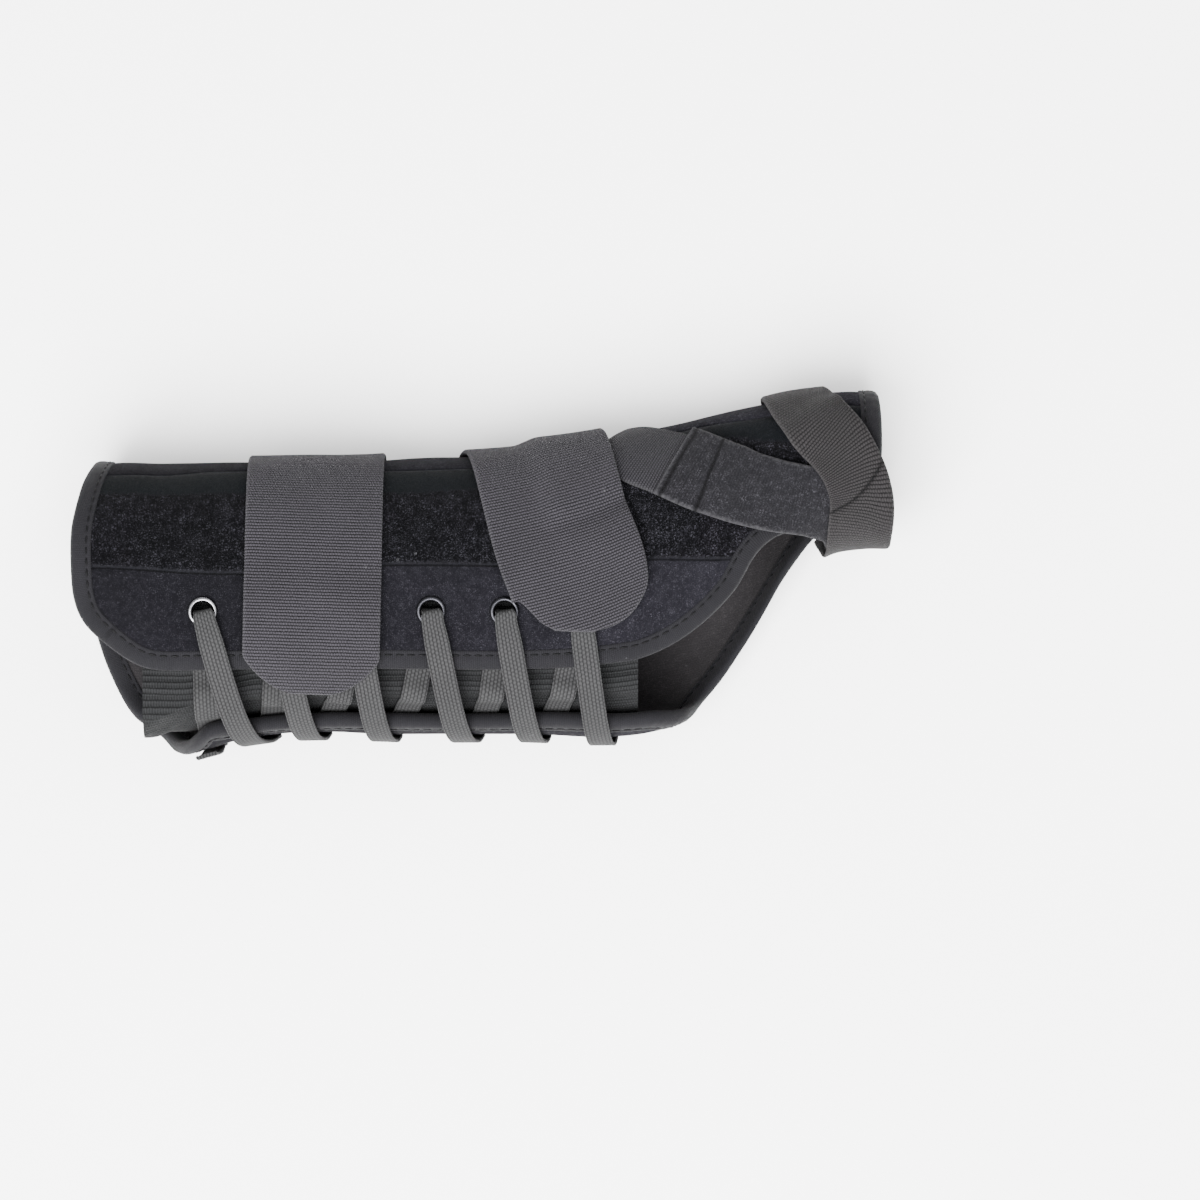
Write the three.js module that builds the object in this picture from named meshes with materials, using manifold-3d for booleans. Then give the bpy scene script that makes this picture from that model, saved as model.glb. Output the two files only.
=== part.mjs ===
// Thumb spica splint for a right hand, lying on its palm side. Millimetres, +X to the fingers,
// +Y to the thumb, +Z up through the back of the hand.
import * as THREE from "three";
import { mergeVertices } from "three/addons/utils/BufferGeometryUtils.js";
import Module from "manifold-3d";

// Overall sizes
const LENGTH = 241; // forearm end to thumb end
const WIDTH = 108.5; // thumb side to little finger side
const HEIGHT = 62; // palm side to back at the forearm end
const ROUNDNESS = 2.4; // exponent of the oval sections

// Wall and layers
const WALL = 3.5; // foam laminate
const BINDING_WIDTH = 6;
const BINDING_PROUD = 0.25; // how far the tape stands over the laminate
const SEAM_GAP = 0.3; // between pieces that touch
const LAYER_GAP = 0.6; // between a strap and what it lies on
const STRAP_THICK = 1.6;
const STRAP_WIDTH = 40;
const REST_RISE = LAYER_GAP + STRAP_THICK; // the wrap lies this far over the table
const FLAT_BLEND = 1.2; // softness of the flattened underside

// Thumb straps
const THUMB_STRAP_THICK = 1.4;
const THUMB_BASE_WIDTH = 20;
const THUMB_STRAP_WIDTH = 22;
const THUMB_STRAP_END = 17; // its width where the band covers it
const THUMB_BAND_WIDTH = 19;

// Lace and eyelets
const LACE_WIDTH = 7.4;
const LACE_THICK = 1.2;
const LACE_PINCH = 3.2; // its width where it passes an eyelet
const HOLE_RADIUS = 3;
const BARREL_WALL = 0.4;
const FLANGE_RADIUS = 4.6;
const FLANGE_RISE = 0.75;
const ROLL_RADIUS = 4;
const EYELET_BACK_INSET = 17.6; // from the wrap's edge to the middle of an eyelet
const EYELET_PALM_INSET = 27;

// Gusset
const GUSSET_THICK = 1.5;
const GUSSET_TUCK = 11; // how far it reaches past the eyelets, under the wrap

// Grid sizes
const ROWS = 33;
const COLUMNS = 24;
const EYELET_SIDES = 8;
const HOLE_SIDES = 8;

// Oval sections: along is a share of LENGTH, thumb and little are the sides as shares of WIDTH,
// top and bottom are shares of HEIGHT
const SECTIONS = [
  { along: 0.0, thumb: 0.2005, little: 0.9675, top: 1.0, bottom: -0.026 },
  { along: 0.1282, thumb: 0.2005, little: 0.9919, top: 0.985, bottom: -0.026 },
  { along: 0.2137, thumb: 0.2005, little: 0.9485, top: 0.97, bottom: -0.026 },
  { along: 0.4274, thumb: 0.1897, little: 0.9404, top: 0.9, bottom: -0.026 },
  { along: 0.5433, thumb: 0.1734, little: 0.9404, top: 0.86, bottom: -0.026 },
  { along: 0.6422, thumb: 0.1436, little: 0.9485, top: 0.83, bottom: -0.026 },
  { along: 0.6984, thumb: 0.1111, little: 0.9377, top: 0.81, bottom: -0.026 },
  { along: 0.7387, thumb: 0.0921, little: 0.9106, top: 0.8, bottom: -0.02 },
  { along: 0.7875, thumb: 0.0677, little: 0.8293, top: 0.78, bottom: 0.0 },
  { along: 0.8303, thumb: 0.0461, little: 0.6911, top: 0.75, bottom: 0.03 },
  { along: 0.8669, thumb: 0.0271, little: 0.5312, top: 0.72, bottom: 0.07 },
  { along: 0.9158, thumb: 0.0108, little: 0.4228, top: 0.7, bottom: 0.1 },
  { along: 0.9609, thumb: 0.0054, little: 0.3984, top: 0.69, bottom: 0.12 },
  { along: 1.0, thumb: 0.0136, little: 0.3957, top: 0.67, bottom: 0.13 },
];

// The wrap's edge in four runs. across is a share of WIDTH, read on the face that it lies on: back,
// palm, turned where the palm panel comes up round the little finger side, or round where a strap
// reaches the palm by that side.
const EDGE_BACK = [
  { along: 0.0403, across: 0.6911, face: "back" },
  { along: 0.0879, across: 0.7588, face: "back" },
  { along: 0.1648, across: 0.7669, face: "back" },
  { along: 0.3968, across: 0.7642, face: "back" },
  { along: 0.641, across: 0.7534, face: "back" },
  { along: 0.696, across: 0.7317, face: "back" },
  { along: 0.7509, across: 0.6667, face: "back" },
  { along: 0.8034, across: 0.5556, face: "back" },
  { along: 0.8303, across: 0.4553, face: "back" },
  { along: 0.8474, across: 0.4173, face: "back" },
  { along: 0.8694, across: 0.3957, face: "back" },
  { along: 0.922, across: 0.379, face: "back" },
  { along: 0.95, across: 0.366, face: "back" },
];
const EDGE_END = [
  { along: 0.95, across: 0.366, face: "back" },
  { along: 0.97, across: 0.335, face: "back" },
  { along: 0.981, across: 0.27, face: "back" },
  { along: 0.985, across: 0.18, face: "back" },
  { along: 0.9853, across: 0.0976, face: "back" },
  { along: 0.983, across: 0.0108, face: "back" },
  { along: 0.983, across: 0.0976, face: "palm" },
  { along: 0.981, across: 0.19, face: "palm" },
  { along: 0.974, across: 0.27, face: "palm" },
  { along: 0.958, across: 0.325, face: "palm" },
  { along: 0.935, across: 0.358, face: "palm" },
];
const EDGE_PALM = [
  { along: 0.935, across: 0.358, face: "palm" },
  { along: 0.908, across: 0.405, face: "palm" },
  { along: 0.88, across: 0.48, face: "palm" },
  { along: 0.852, across: 0.58, face: "palm" },
  { along: 0.824, across: 0.69, face: "palm" },
  { along: 0.794, across: 0.79, face: "palm" },
  { along: 0.768, across: 0.86, face: "palm" },
  { along: 0.7436, across: 0.897, face: "turned" },
  { along: 0.7082, across: 0.897, face: "turned" },
  { along: 0.641, across: 0.9024, face: "turned" },
  { along: 0.5189, across: 0.9051, face: "turned" },
  { along: 0.3968, across: 0.9051, face: "turned" },
  { along: 0.2747, across: 0.9079, face: "turned" },
  { along: 0.2198, across: 0.9187, face: "turned" },
  { along: 0.162, across: 0.935, face: "turned" },
];
const EDGE_FOREARM = [
  { along: 0.162, across: 0.935, face: "turned" },
  { along: 0.098, across: 0.952, face: "palm" },
  { along: 0.0647, across: 0.9, face: "palm" },
  { along: 0.036, across: 0.7913, face: "palm" },
  { along: 0.0128, across: 0.6287, face: "palm" },
  { along: 0.0037, across: 0.4661, face: "palm" },
  { along: 0.0122, across: 0.3035, face: "palm" },
  { along: 0.0208, across: 0.2033, face: "back" },
  { along: 0.0085, across: 0.2764, face: "back" },
  { along: 0.0, across: 0.3794, face: "back" },
  { along: 0.0, across: 0.4824, face: "back" },
  { along: 0.0037, across: 0.5691, face: "back" },
  { along: 0.0147, across: 0.6314, face: "back" },
  { along: 0.0403, across: 0.6911, face: "back" },
];

// Straps: middle lines on the wrap, read as above
const FOREARM_STRAP_LINE = [
  { along: 0.29, across: 0.812, face: "back" },
  { along: 0.2934, across: 0.5, face: "back" },
  { along: 0.2949, across: 0.2, face: "back" },
  { along: 0.2955, across: 0.55, face: "palm" },
  { along: 0.2955, across: 0.78, face: "palm" },
];
const WRIST_STRAP_LINE = [
  { along: 0.6104, across: 0.657, face: "back" },
  { along: 0.6166, across: 0.5475, face: "back" },
  { along: 0.5921, across: 0.3848, face: "back" },
  { along: 0.5617, across: 0.1734, face: "back" },
  { along: 0.53, across: 0.45, face: "palm" },
  { along: 0.51, across: 0.76, face: "palm" },
];
const THUMB_BASE_LINE = [
  { along: 0.647, across: 0.155, face: "back" },
  { along: 0.7, across: 0.187, face: "back" },
  { along: 0.7753, across: 0.2412, face: "back" },
];
const THUMB_STRAP_LINE = [
  { along: 0.7302, across: 0.206, face: "back" },
  { along: 0.7775, across: 0.2466, face: "back" },
  { along: 0.8474, across: 0.29, face: "back" },
  { along: 0.9121, across: 0.3171, face: "back" },
  { along: 0.9487, across: 0.37, face: "back" },
  { along: 0.9536, across: 0.37, face: "round" },
  { along: 0.9365, across: 0.271, face: "round" },
];
const THUMB_BAND_LINE = [
  { along: 0.944, across: 0.31, face: "round" },
  { along: 0.952, across: 0.37, face: "round" },
  { along: 0.958, across: 0.37, face: "back" },
  { along: 0.96, across: 0.29, face: "back" },
  { along: 0.9505, across: 0.2222, face: "back" },
  { along: 0.934, across: 0.1653, face: "back" },
  { along: 0.9033, across: 0.0945, face: "back" },
  { along: 0.8789, across: 0.024, face: "back" },
  { along: 0.888, across: 0.11, face: "palm" },
  { along: 0.91, across: 0.23, face: "palm" },
];

// Rounded strap end: reach from the tip as a share of TIP_LENGTH, half as a share of half the width
const TIP_LENGTH = 11;
const TIP = [
  { reach: 0.0, half: 0.3 },
  { reach: 0.12, half: 0.48 },
  { reach: 0.33, half: 0.68 },
  { reach: 0.65, half: 0.88 },
  { reach: 1.0, half: 1.0 },
];

// Eyelets: along as a share of LENGTH
const EYELETS_BACK = [0.16, 0.2515, 0.3443, 0.4359, 0.525, 0.6166];
const EYELETS_PALM = [0.168, 0.2369, 0.2991, 0.3858, 0.4872, 0.569, 0.6508];

// Smooth value of one column of a table at a place in another
function readTable(table, key, column, at) {
  const last = table.length - 1;
  if (at <= table[0][key]) return table[0][column];
  if (at >= table[last][key]) return table[last][column];
  let i = 0;
  while (at > table[i + 1][key]) i += 1;
  const slope = (j) => {
    if (j <= 0 || j >= last) return 0;
    const before = table[j][key] - table[j - 1][key];
    const after = table[j + 1][key] - table[j][key];
    const rise = (table[j][column] - table[j - 1][column]) / before;
    const next = (table[j + 1][column] - table[j][column]) / after;
    if (rise * next <= 0) return 0;
    return (rise * after + next * before) / (before + after);
  };
  const span = table[i + 1][key] - table[i][key];
  const t = (at - table[i][key]) / span;
  const start = table[i][column];
  const end = table[i + 1][column];
  const a = (2 * t ** 3 - 3 * t ** 2 + 1) * start;
  const b = (t ** 3 - 2 * t ** 2 + t) * span * slope(i);
  const c = (-2 * t ** 3 + 3 * t ** 2) * end;
  const d = (t ** 3 - t ** 2) * span * slope(i + 1);
  return a + b + c + d;
}

const easeStep = (t) => {
  const u = Math.min(1, Math.max(0, t));
  return u * u * (3 - 2 * u);
};

// One oval section of the wrap's outside, with its girth measured from the thumb side over the back
const ARC_STEPS = 180;
const sectionCache = new Map();
function sectionAt(x) {
  const key = Math.round(x * 1e4);
  if (sectionCache.has(key)) return sectionCache.get(key);
  const along = x / LENGTH + 0.5;
  const thumb = WIDTH * (0.5 - readTable(SECTIONS, "along", "thumb", along));
  const little = WIDTH * (0.5 - readTable(SECTIONS, "along", "little", along));
  const top = HEIGHT * readTable(SECTIONS, "along", "top", along);
  const bottom = HEIGHT * readTable(SECTIONS, "along", "bottom", along);
  const s = {
    y: (thumb + little) / 2,
    a: (thumb - little) / 2,
    z: (top + bottom) / 2,
    b: (top - bottom) / 2,
    arc: [0],
  };
  let last = ovalPoint(s, 0);
  for (let i = 1; i <= ARC_STEPS; i += 1) {
    const next = ovalPoint(s, (2 * Math.PI * i) / ARC_STEPS);
    s.arc.push(s.arc[i - 1] + Math.hypot(next.y - last.y, next.z - last.z));
    last = next;
  }
  s.girth = s.arc[ARC_STEPS];
  sectionCache.set(key, s);
  return s;
}

function ovalPoint(s, angle) {
  const c = Math.cos(angle);
  const d = Math.sin(angle);
  const n = ROUNDNESS;
  const r = (Math.abs(c / s.a) ** n + Math.abs(d / s.b) ** n) ** (-1 / n);
  return { y: r * c, z: r * d };
}

function angleAtGirth(s, g) {
  const q = Math.abs(g);
  let low = 0;
  let high = ARC_STEPS;
  while (high - low > 1) {
    const middle = (low + high) >> 1;
    if (s.arc[middle] > q) high = middle;
    else low = middle;
  }
  const share = (q - s.arc[low]) / (s.arc[low + 1] - s.arc[low]);
  return (Math.sign(g) * 2 * Math.PI * (low + share)) / ARC_STEPS;
}

function girthAtAngle(s, angle) {
  const place = (angle / (2 * Math.PI)) * ARC_STEPS;
  const low = Math.min(ARC_STEPS - 1, Math.floor(place));
  return s.arc[low] + (place - low) * (s.arc[low + 1] - s.arc[low]);
}

// Place on the wrap: x along, g girth, h height over the outside
function onWrap(x, g, h) {
  const s = sectionAt(x);
  const p = ovalPoint(s, angleAtGirth(s, g));
  const n = ROUNDNESS;
  let ny = (Math.sign(p.y) * Math.abs(p.y) ** (n - 1)) / s.a ** n;
  let nz = (Math.sign(p.z) * Math.abs(p.z) ** (n - 1)) / s.b ** n;
  const size = Math.hypot(ny, nz);
  ny /= size;
  nz /= size;
  const y = s.y + p.y + h * ny;
  const floor = REST_RISE - h;
  const over = s.z + p.z + h * nz - floor;
  let lift = over;
  if (over < -FLAT_BLEND) lift = 0;
  else if (over < FLAT_BLEND) lift = (over + FLAT_BLEND) ** 2 / (4 * FLAT_BLEND);
  return new THREE.Vector3(x, y, floor + lift);
}

function normalAt(x, g) {
  const e = 0.4;
  const alongX = onWrap(x + e, g, 0).sub(onWrap(x - e, g, 0));
  const alongG = onWrap(x, g + e, 0).sub(onWrap(x, g - e, 0));
  return alongX.cross(alongG).normalize().negate();
}

// Turns a table row into unrolled coordinates
function unroll(row) {
  const x = LENGTH * (row.along - 0.5);
  const s = sectionAt(x);
  const u = Math.max(-1, Math.min(1, (WIDTH * (0.5 - row.across) - s.y) / s.a));
  const z = s.b * Math.max(0, 1 - Math.abs(u) ** ROUNDNESS) ** (1 / ROUNDNESS);
  const g = girthAtAngle(s, Math.atan2(z, u * s.a));
  if (row.face === "back") return [x, g];
  if (row.face === "palm") return [x, -g];
  if (row.face === "round") return [x, s.girth - g];
  return [x, g - s.girth];
}

// Smooth line through points, then evenly spaced along its length
function smoothLine(points, closedEnds = null) {
  const at = (i) => {
    if (i < 0) return closedEnds ? closedEnds[0] : mirror(points[0], points[1]);
    const n = points.length;
    if (i >= n) return closedEnds ? closedEnds[1] : mirror(points[n - 1], points[n - 2]);
    return points[i];
  };
  const line = [];
  for (let i = 0; i < points.length - 1; i += 1) {
    const [a, b, c, d] = [at(i - 1), at(i), at(i + 1), at(i + 2)];
    const t1 = Math.sqrt(dist(a, b)) || 1e-6;
    const t2 = t1 + Math.sqrt(dist(b, c));
    const t3 = t2 + (Math.sqrt(dist(c, d)) || 1e-6);
    for (let j = 0; j < 16; j += 1) {
      const t = t1 + ((t2 - t1) * j) / 16;
      const ab = mix(a, b, t / t1);
      const bc = mix(b, c, (t - t1) / (t2 - t1));
      const cd = mix(c, d, (t - t2) / (t3 - t2));
      const abc = mix(ab, bc, t / t2);
      const bcd = mix(bc, cd, (t - t1) / (t3 - t1));
      line.push(mix(abc, bcd, (t - t1) / (t2 - t1)));
    }
  }
  line.push([...points[points.length - 1]]);
  return line;
}

const dist = (p, q) => Math.hypot(p[0] - q[0], p[1] - q[1]);
const mix = (p, q, t) => [p[0] + (q[0] - p[0]) * t, p[1] + (q[1] - p[1]) * t];
const mirror = (p, q) => [2 * p[0] - q[0], 2 * p[1] - q[1]];

function evenly(line, count) {
  const run = [0];
  for (let i = 1; i < line.length; i += 1) run.push(run[i - 1] + dist(line[i], line[i - 1]));
  const total = run[run.length - 1];
  const out = [];
  let k = 0;
  for (let i = 0; i <= count; i += 1) {
    const want = (total * i) / count;
    while (k < line.length - 2 && run[k + 1] < want) k += 1;
    out.push(mix(line[k], line[k + 1], (want - run[k]) / (run[k + 1] - run[k] || 1)));
  }
  return { points: out, total };
}

// The whole edge, closed, as unrolled points
const edgeRuns = [EDGE_BACK, EDGE_END, EDGE_PALM, EDGE_FOREARM];
const edgeRows = edgeRuns.map((rows) => rows.map(unroll));
const edgeCounts = [COLUMNS, ROWS, COLUMNS, ROWS];
const edgeLine = [];
edgeRows.forEach((points, i) => {
  const before = edgeRows[(i + 3) % 4];
  const after = edgeRows[(i + 1) % 4];
  const line = smoothLine(points, [before[before.length - 2], after[1]]);
  edgeLine.push(...evenly(line, edgeCounts[i]).points.slice(0, -1));
});

// Inward direction at each point of the edge
const edgeInward = edgeLine.map((p, i) => {
  const n = edgeLine.length;
  const q = edgeLine[(i + n - 1) % n];
  const r = edgeLine[(i + 1) % n];
  const size = dist(q, r);
  return [(r[1] - q[1]) / size, -(r[0] - q[0]) / size];
});

const edgeInset = (i, by) => {
  const n = edgeLine.length;
  const k = ((i % n) + n) % n;
  return [edgeLine[k][0] + edgeInward[k][0] * by, edgeLine[k][1] + edgeInward[k][1] * by];
};

// How far a place is inside the wrap's edge, negative outside it
function insideBy(x, g) {
  let best = Infinity;
  let crossings = 0;
  const n = edgeLine.length;
  for (let i = 0; i < n; i += 1) {
    const p = edgeLine[i];
    const q = edgeLine[(i + 1) % n];
    const dx = q[0] - p[0];
    const dg = q[1] - p[1];
    const t = Math.max(0, Math.min(1, ((x - p[0]) * dx + (g - p[1]) * dg) / (dx * dx + dg * dg)));
    best = Math.min(best, Math.hypot(x - p[0] - t * dx, g - p[1] - t * dg));
    if (p[1] > g !== q[1] > g && x < p[0] + ((g - p[1]) / dg) * dx) crossings += 1;
  }
  return crossings % 2 ? best : -best;
}

// Closed mesh from a grid of outer and inner points
function slab(rows, columns, outer, inner) {
  const points = [];
  const faces = [];
  const id = (layer, i, j) => (layer * (rows + 1) + i) * (columns + 1) + j;
  for (const layer of [outer, inner]) {
    for (let i = 0; i <= rows; i += 1) {
      for (let j = 0; j <= columns; j += 1) points.push(layer(i, j));
    }
  }
  for (let i = 0; i < rows; i += 1) {
    for (let j = 0; j < columns; j += 1) {
      faces.push([id(0, i, j), id(0, i, j + 1), id(0, i + 1, j + 1)]);
      faces.push([id(0, i, j), id(0, i + 1, j + 1), id(0, i + 1, j)]);
      faces.push([id(1, i, j), id(1, i + 1, j + 1), id(1, i, j + 1)]);
      faces.push([id(1, i, j), id(1, i + 1, j), id(1, i + 1, j + 1)]);
    }
  }
  const wall = (a, b, c, d) => faces.push([a, b, c], [b, d, c]);
  for (let j = 0; j < columns; j += 1) {
    wall(id(0, 0, j + 1), id(0, 0, j), id(1, 0, j + 1), id(1, 0, j));
    wall(id(0, rows, j), id(0, rows, j + 1), id(1, rows, j), id(1, rows, j + 1));
  }
  for (let i = 0; i < rows; i += 1) {
    wall(id(0, i, 0), id(0, i + 1, 0), id(1, i, 0), id(1, i + 1, 0));
    wall(id(0, i + 1, columns), id(0, i, columns), id(1, i + 1, columns), id(1, i, columns));
  }
  return facing(points, faces);
}

// Closed mesh from a run of closed rings; capped at both ends, or joined round
function sweep(rings, joined) {
  const points = rings.flat();
  const size = rings[0].length;
  const faces = [];
  const runs = joined ? rings.length : rings.length - 1;
  for (let i = 0; i < runs; i += 1) {
    const a = i * size;
    const b = ((i + 1) % rings.length) * size;
    for (let j = 0; j < size; j += 1) {
      const k = (j + 1) % size;
      faces.push([a + j, a + k, b + k], [a + j, b + k, b + j]);
    }
  }
  if (!joined) {
    const end = (rings.length - 1) * size;
    for (let j = 1; j < size - 1; j += 1) {
      faces.push([0, j + 1, j], [end, end + j, end + j + 1]);
    }
  }
  return facing(points, faces);
}

// Geometry with its faces pointing out
function facing(points, faces) {
  let volume = 0;
  for (const [a, b, c] of faces) {
    volume += points[a].dot(new THREE.Vector3().crossVectors(points[b], points[c]));
  }
  const turned = volume < 0 ? faces.map(([a, b, c]) => [a, c, b]) : faces;
  const geometry = new THREE.BufferGeometry();
  geometry.setAttribute(
    "position",
    new THREE.Float32BufferAttribute(points.flatMap((p) => [p.x, p.y, p.z]), 3),
  );
  geometry.setIndex(turned.flat());
  return geometry;
}

const wasm = await Module();
wasm.setup();

function toSolid(geometry) {
  const bare = geometry.clone();
  bare.deleteAttribute("normal");
  bare.deleteAttribute("uv");
  const merged = mergeVertices(bare, 1e-4);
  return new wasm.Manifold(
    new wasm.Mesh({
      numProp: 3,
      vertProperties: new Float32Array(merged.attributes.position.array),
      triVerts: new Uint32Array(merged.index.array),
    }),
  );
}

function toGeometry(solid) {
  const mesh = solid.getMesh();
  const geometry = new THREE.BufferGeometry();
  geometry.setAttribute("position", new THREE.BufferAttribute(mesh.vertProperties, 3));
  geometry.setIndex(new THREE.BufferAttribute(mesh.triVerts, 1));
  return geometry;
}

// Eyelet places, in unrolled coordinates
const edgeGirth = (rows, along) => {
  const table = rows.map((row) => ({ x: row.along, g: unroll(row)[1] }));
  if (table[0].x > table[1].x) table.reverse();
  return readTable(table, "x", "g", along);
};
const PALM_CORNER = EDGE_PALM[EDGE_PALM.length - 2].along;
const backEyelets = EYELETS_BACK.map((along) => {
  return [LENGTH * (along - 0.5), edgeGirth(EDGE_BACK, along) - EYELET_BACK_INSET];
});
const palmEyelets = EYELETS_PALM.map((along) => {
  const open = Math.max(along, PALM_CORNER);
  return [LENGTH * (along - 0.5), edgeGirth(EDGE_PALM, open) + EYELET_PALM_INSET];
});

// Matrix that stands a lathe on the wrap
function standOn([x, g]) {
  const up = normalAt(x, g);
  const side = new THREE.Vector3(1, 0, 0).addScaledVector(up, -up.x).normalize();
  const place = onWrap(x, g, 0);
  return new THREE.Matrix4()
    .makeBasis(side, up, new THREE.Vector3().crossVectors(side, up))
    .setPosition(place);
}

function lathe(profile, segments, matrix) {
  const closed = [...profile, profile[0]].map(([r, h]) => new THREE.Vector2(r, h));
  const geometry = new THREE.LatheGeometry(closed, segments);
  geometry.deleteAttribute("normal");
  geometry.deleteAttribute("uv");
  const merged = mergeVertices(geometry.applyMatrix4(matrix), 1e-4);
  const p = merged.attributes.position;
  const points = [];
  for (let i = 0; i < p.count; i += 1) points.push(new THREE.Vector3().fromBufferAttribute(p, i));
  const faces = [];
  for (let i = 0; i < merged.index.count; i += 3) {
    const face = [0, 1, 2].map((k) => merged.index.getX(i + k));
    if (new Set(face).size === 3) faces.push(face);
  }
  return facing(points, faces);
}

const ROLL_DEPTH = WALL + 0.9; // how deep the eyelet's rolled end reaches
const BARREL_RADIUS = HOLE_RADIUS + BARREL_WALL;
const eyeletProfile = [
  [HOLE_RADIUS, FLANGE_RISE - 0.2],
  [HOLE_RADIUS + 0.8, FLANGE_RISE],
  [FLANGE_RADIUS, SEAM_GAP - 0.05],
  [BARREL_RADIUS, SEAM_GAP - 0.05],
  [BARREL_RADIUS, -ROLL_DEPTH + 0.5],
  [ROLL_RADIUS, -ROLL_DEPTH + 0.2],
  [HOLE_RADIUS, -ROLL_DEPTH],
];
const holeProfile = [
  [0, 6],
  [BARREL_RADIUS + 2 * SEAM_GAP, 6],
  [BARREL_RADIUS + 2 * SEAM_GAP, -WALL + 0.7],
  [ROLL_RADIUS + 2 * SEAM_GAP, -WALL + 0.5],
  [ROLL_RADIUS + 2 * SEAM_GAP, -WALL - 4],
  [0, -WALL - 4],
];

// Wrap body: the ground inside the binding, cut for the eyelets
function makeWrapBody() {
  const inset = BINDING_WIDTH + SEAM_GAP;
  const top = (j) => edgeInset(j, inset);
  const right = (i) => edgeInset(COLUMNS + i, inset);
  const low = (j) => edgeInset(2 * COLUMNS + ROWS - j, inset);
  const left = (i) => edgeInset(2 * COLUMNS + 2 * ROWS - i, inset);
  const place = (i, j, h) => {
    const t = i / ROWS;
    const s = j / COLUMNS;
    const p = [0, 1].map((k) => {
      const middle = (1 - t) * top(j)[k] + t * low(j)[k];
      const atLeft = left(i)[k] - (1 - t) * top(0)[k] - t * low(0)[k];
      const atRight = right(i)[k] - (1 - t) * top(COLUMNS)[k] - t * low(COLUMNS)[k];
      return middle + (1 - s) ** 6 * atLeft + s ** 12 * atRight;
    });
    return onWrap(p[0], p[1], h);
  };
  const sheet = slab(ROWS, COLUMNS, (i, j) => place(i, j, 0), (i, j) => place(i, j, -WALL));
  let solid = toSolid(sheet);
  for (const eyelet of [...backEyelets, ...palmEyelets]) {
    solid = solid.subtract(toSolid(lathe(holeProfile, HOLE_SIDES, standOn(eyelet))));
  }
  return toGeometry(solid);
}

// Edge binding: a closed tape ring
function makeBinding() {
  const outside = BINDING_PROUD;
  const inside = -WALL - BINDING_PROUD;
  const profile = [
    [BINDING_WIDTH, outside - 0.1],
    [0.8, outside],
    [0, -WALL / 2],
    [0.8, inside],
    [BINDING_WIDTH, inside + 0.1],
  ];
  const rings = edgeLine.map((_, i) => {
    return profile.map(([by, h]) => {
      const p = edgeInset(i, by);
      return onWrap(p[0], p[1], h);
    });
  });
  return sweep(rings, true);
}

// Gusset: tucked under both edges, fuller where it shows at the forearm end
const LACE_UNDER = ROLL_DEPTH + SEAM_GAP + LACE_THICK / 2; // depth of the lace inside the wrap
const GUSSET_DEPTH = LACE_UNDER + LACE_THICK / 2 + 2 * SEAM_GAP;
const GUSSET_OPEN_DEPTH = 4.2;
const GUSSET_BULGE = 3.4;
function gussetHeight(x, g) {
  const away = -Math.max(insideBy(x, g), insideBy(x, g - sectionAt(x).girth));
  const open = easeStep((away - 3) / 6) * (GUSSET_DEPTH - GUSSET_OPEN_DEPTH);
  const full = easeStep((away - 9) / 8) * GUSSET_BULGE;
  return full + open - GUSSET_DEPTH;
}
const GUSSET_START = 0.0855; // shares of LENGTH
const GUSSET_END = 0.6874;
const GUSSET_ROWS = 14;
const GUSSET_COLUMNS = 11;
function makeGusset() {
  const place = (i, j, h) => {
    const along = GUSSET_START + ((GUSSET_END - GUSSET_START) * j) / GUSSET_COLUMNS;
    const x = LENGTH * (along - 0.5);
    const s = sectionAt(x);
    const backOpen = Math.max(along, EDGE_BACK[2].along);
    const from = edgeGirth(EDGE_BACK, backOpen) - EYELET_BACK_INSET - GUSSET_TUCK;
    const open = Math.max(along, PALM_CORNER);
    const to = edgeGirth(EDGE_PALM, open) + s.girth + EYELET_PALM_INSET + GUSSET_TUCK;
    const t = i / GUSSET_ROWS;
    const g = from + (to - from) * t;
    const ends = easeStep((Math.abs(t - 0.5) - 0.44) / 0.06) * (GUSSET_DEPTH - WALL - 2 * SEAM_GAP);
    return onWrap(x, g, gussetHeight(x, g) + ends + h);
  };
  return slab(
    GUSSET_ROWS,
    GUSSET_COLUMNS,
    (i, j) => place(i, j, 0),
    (i, j) => place(i, j, -GUSSET_THICK),
  );
}

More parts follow.
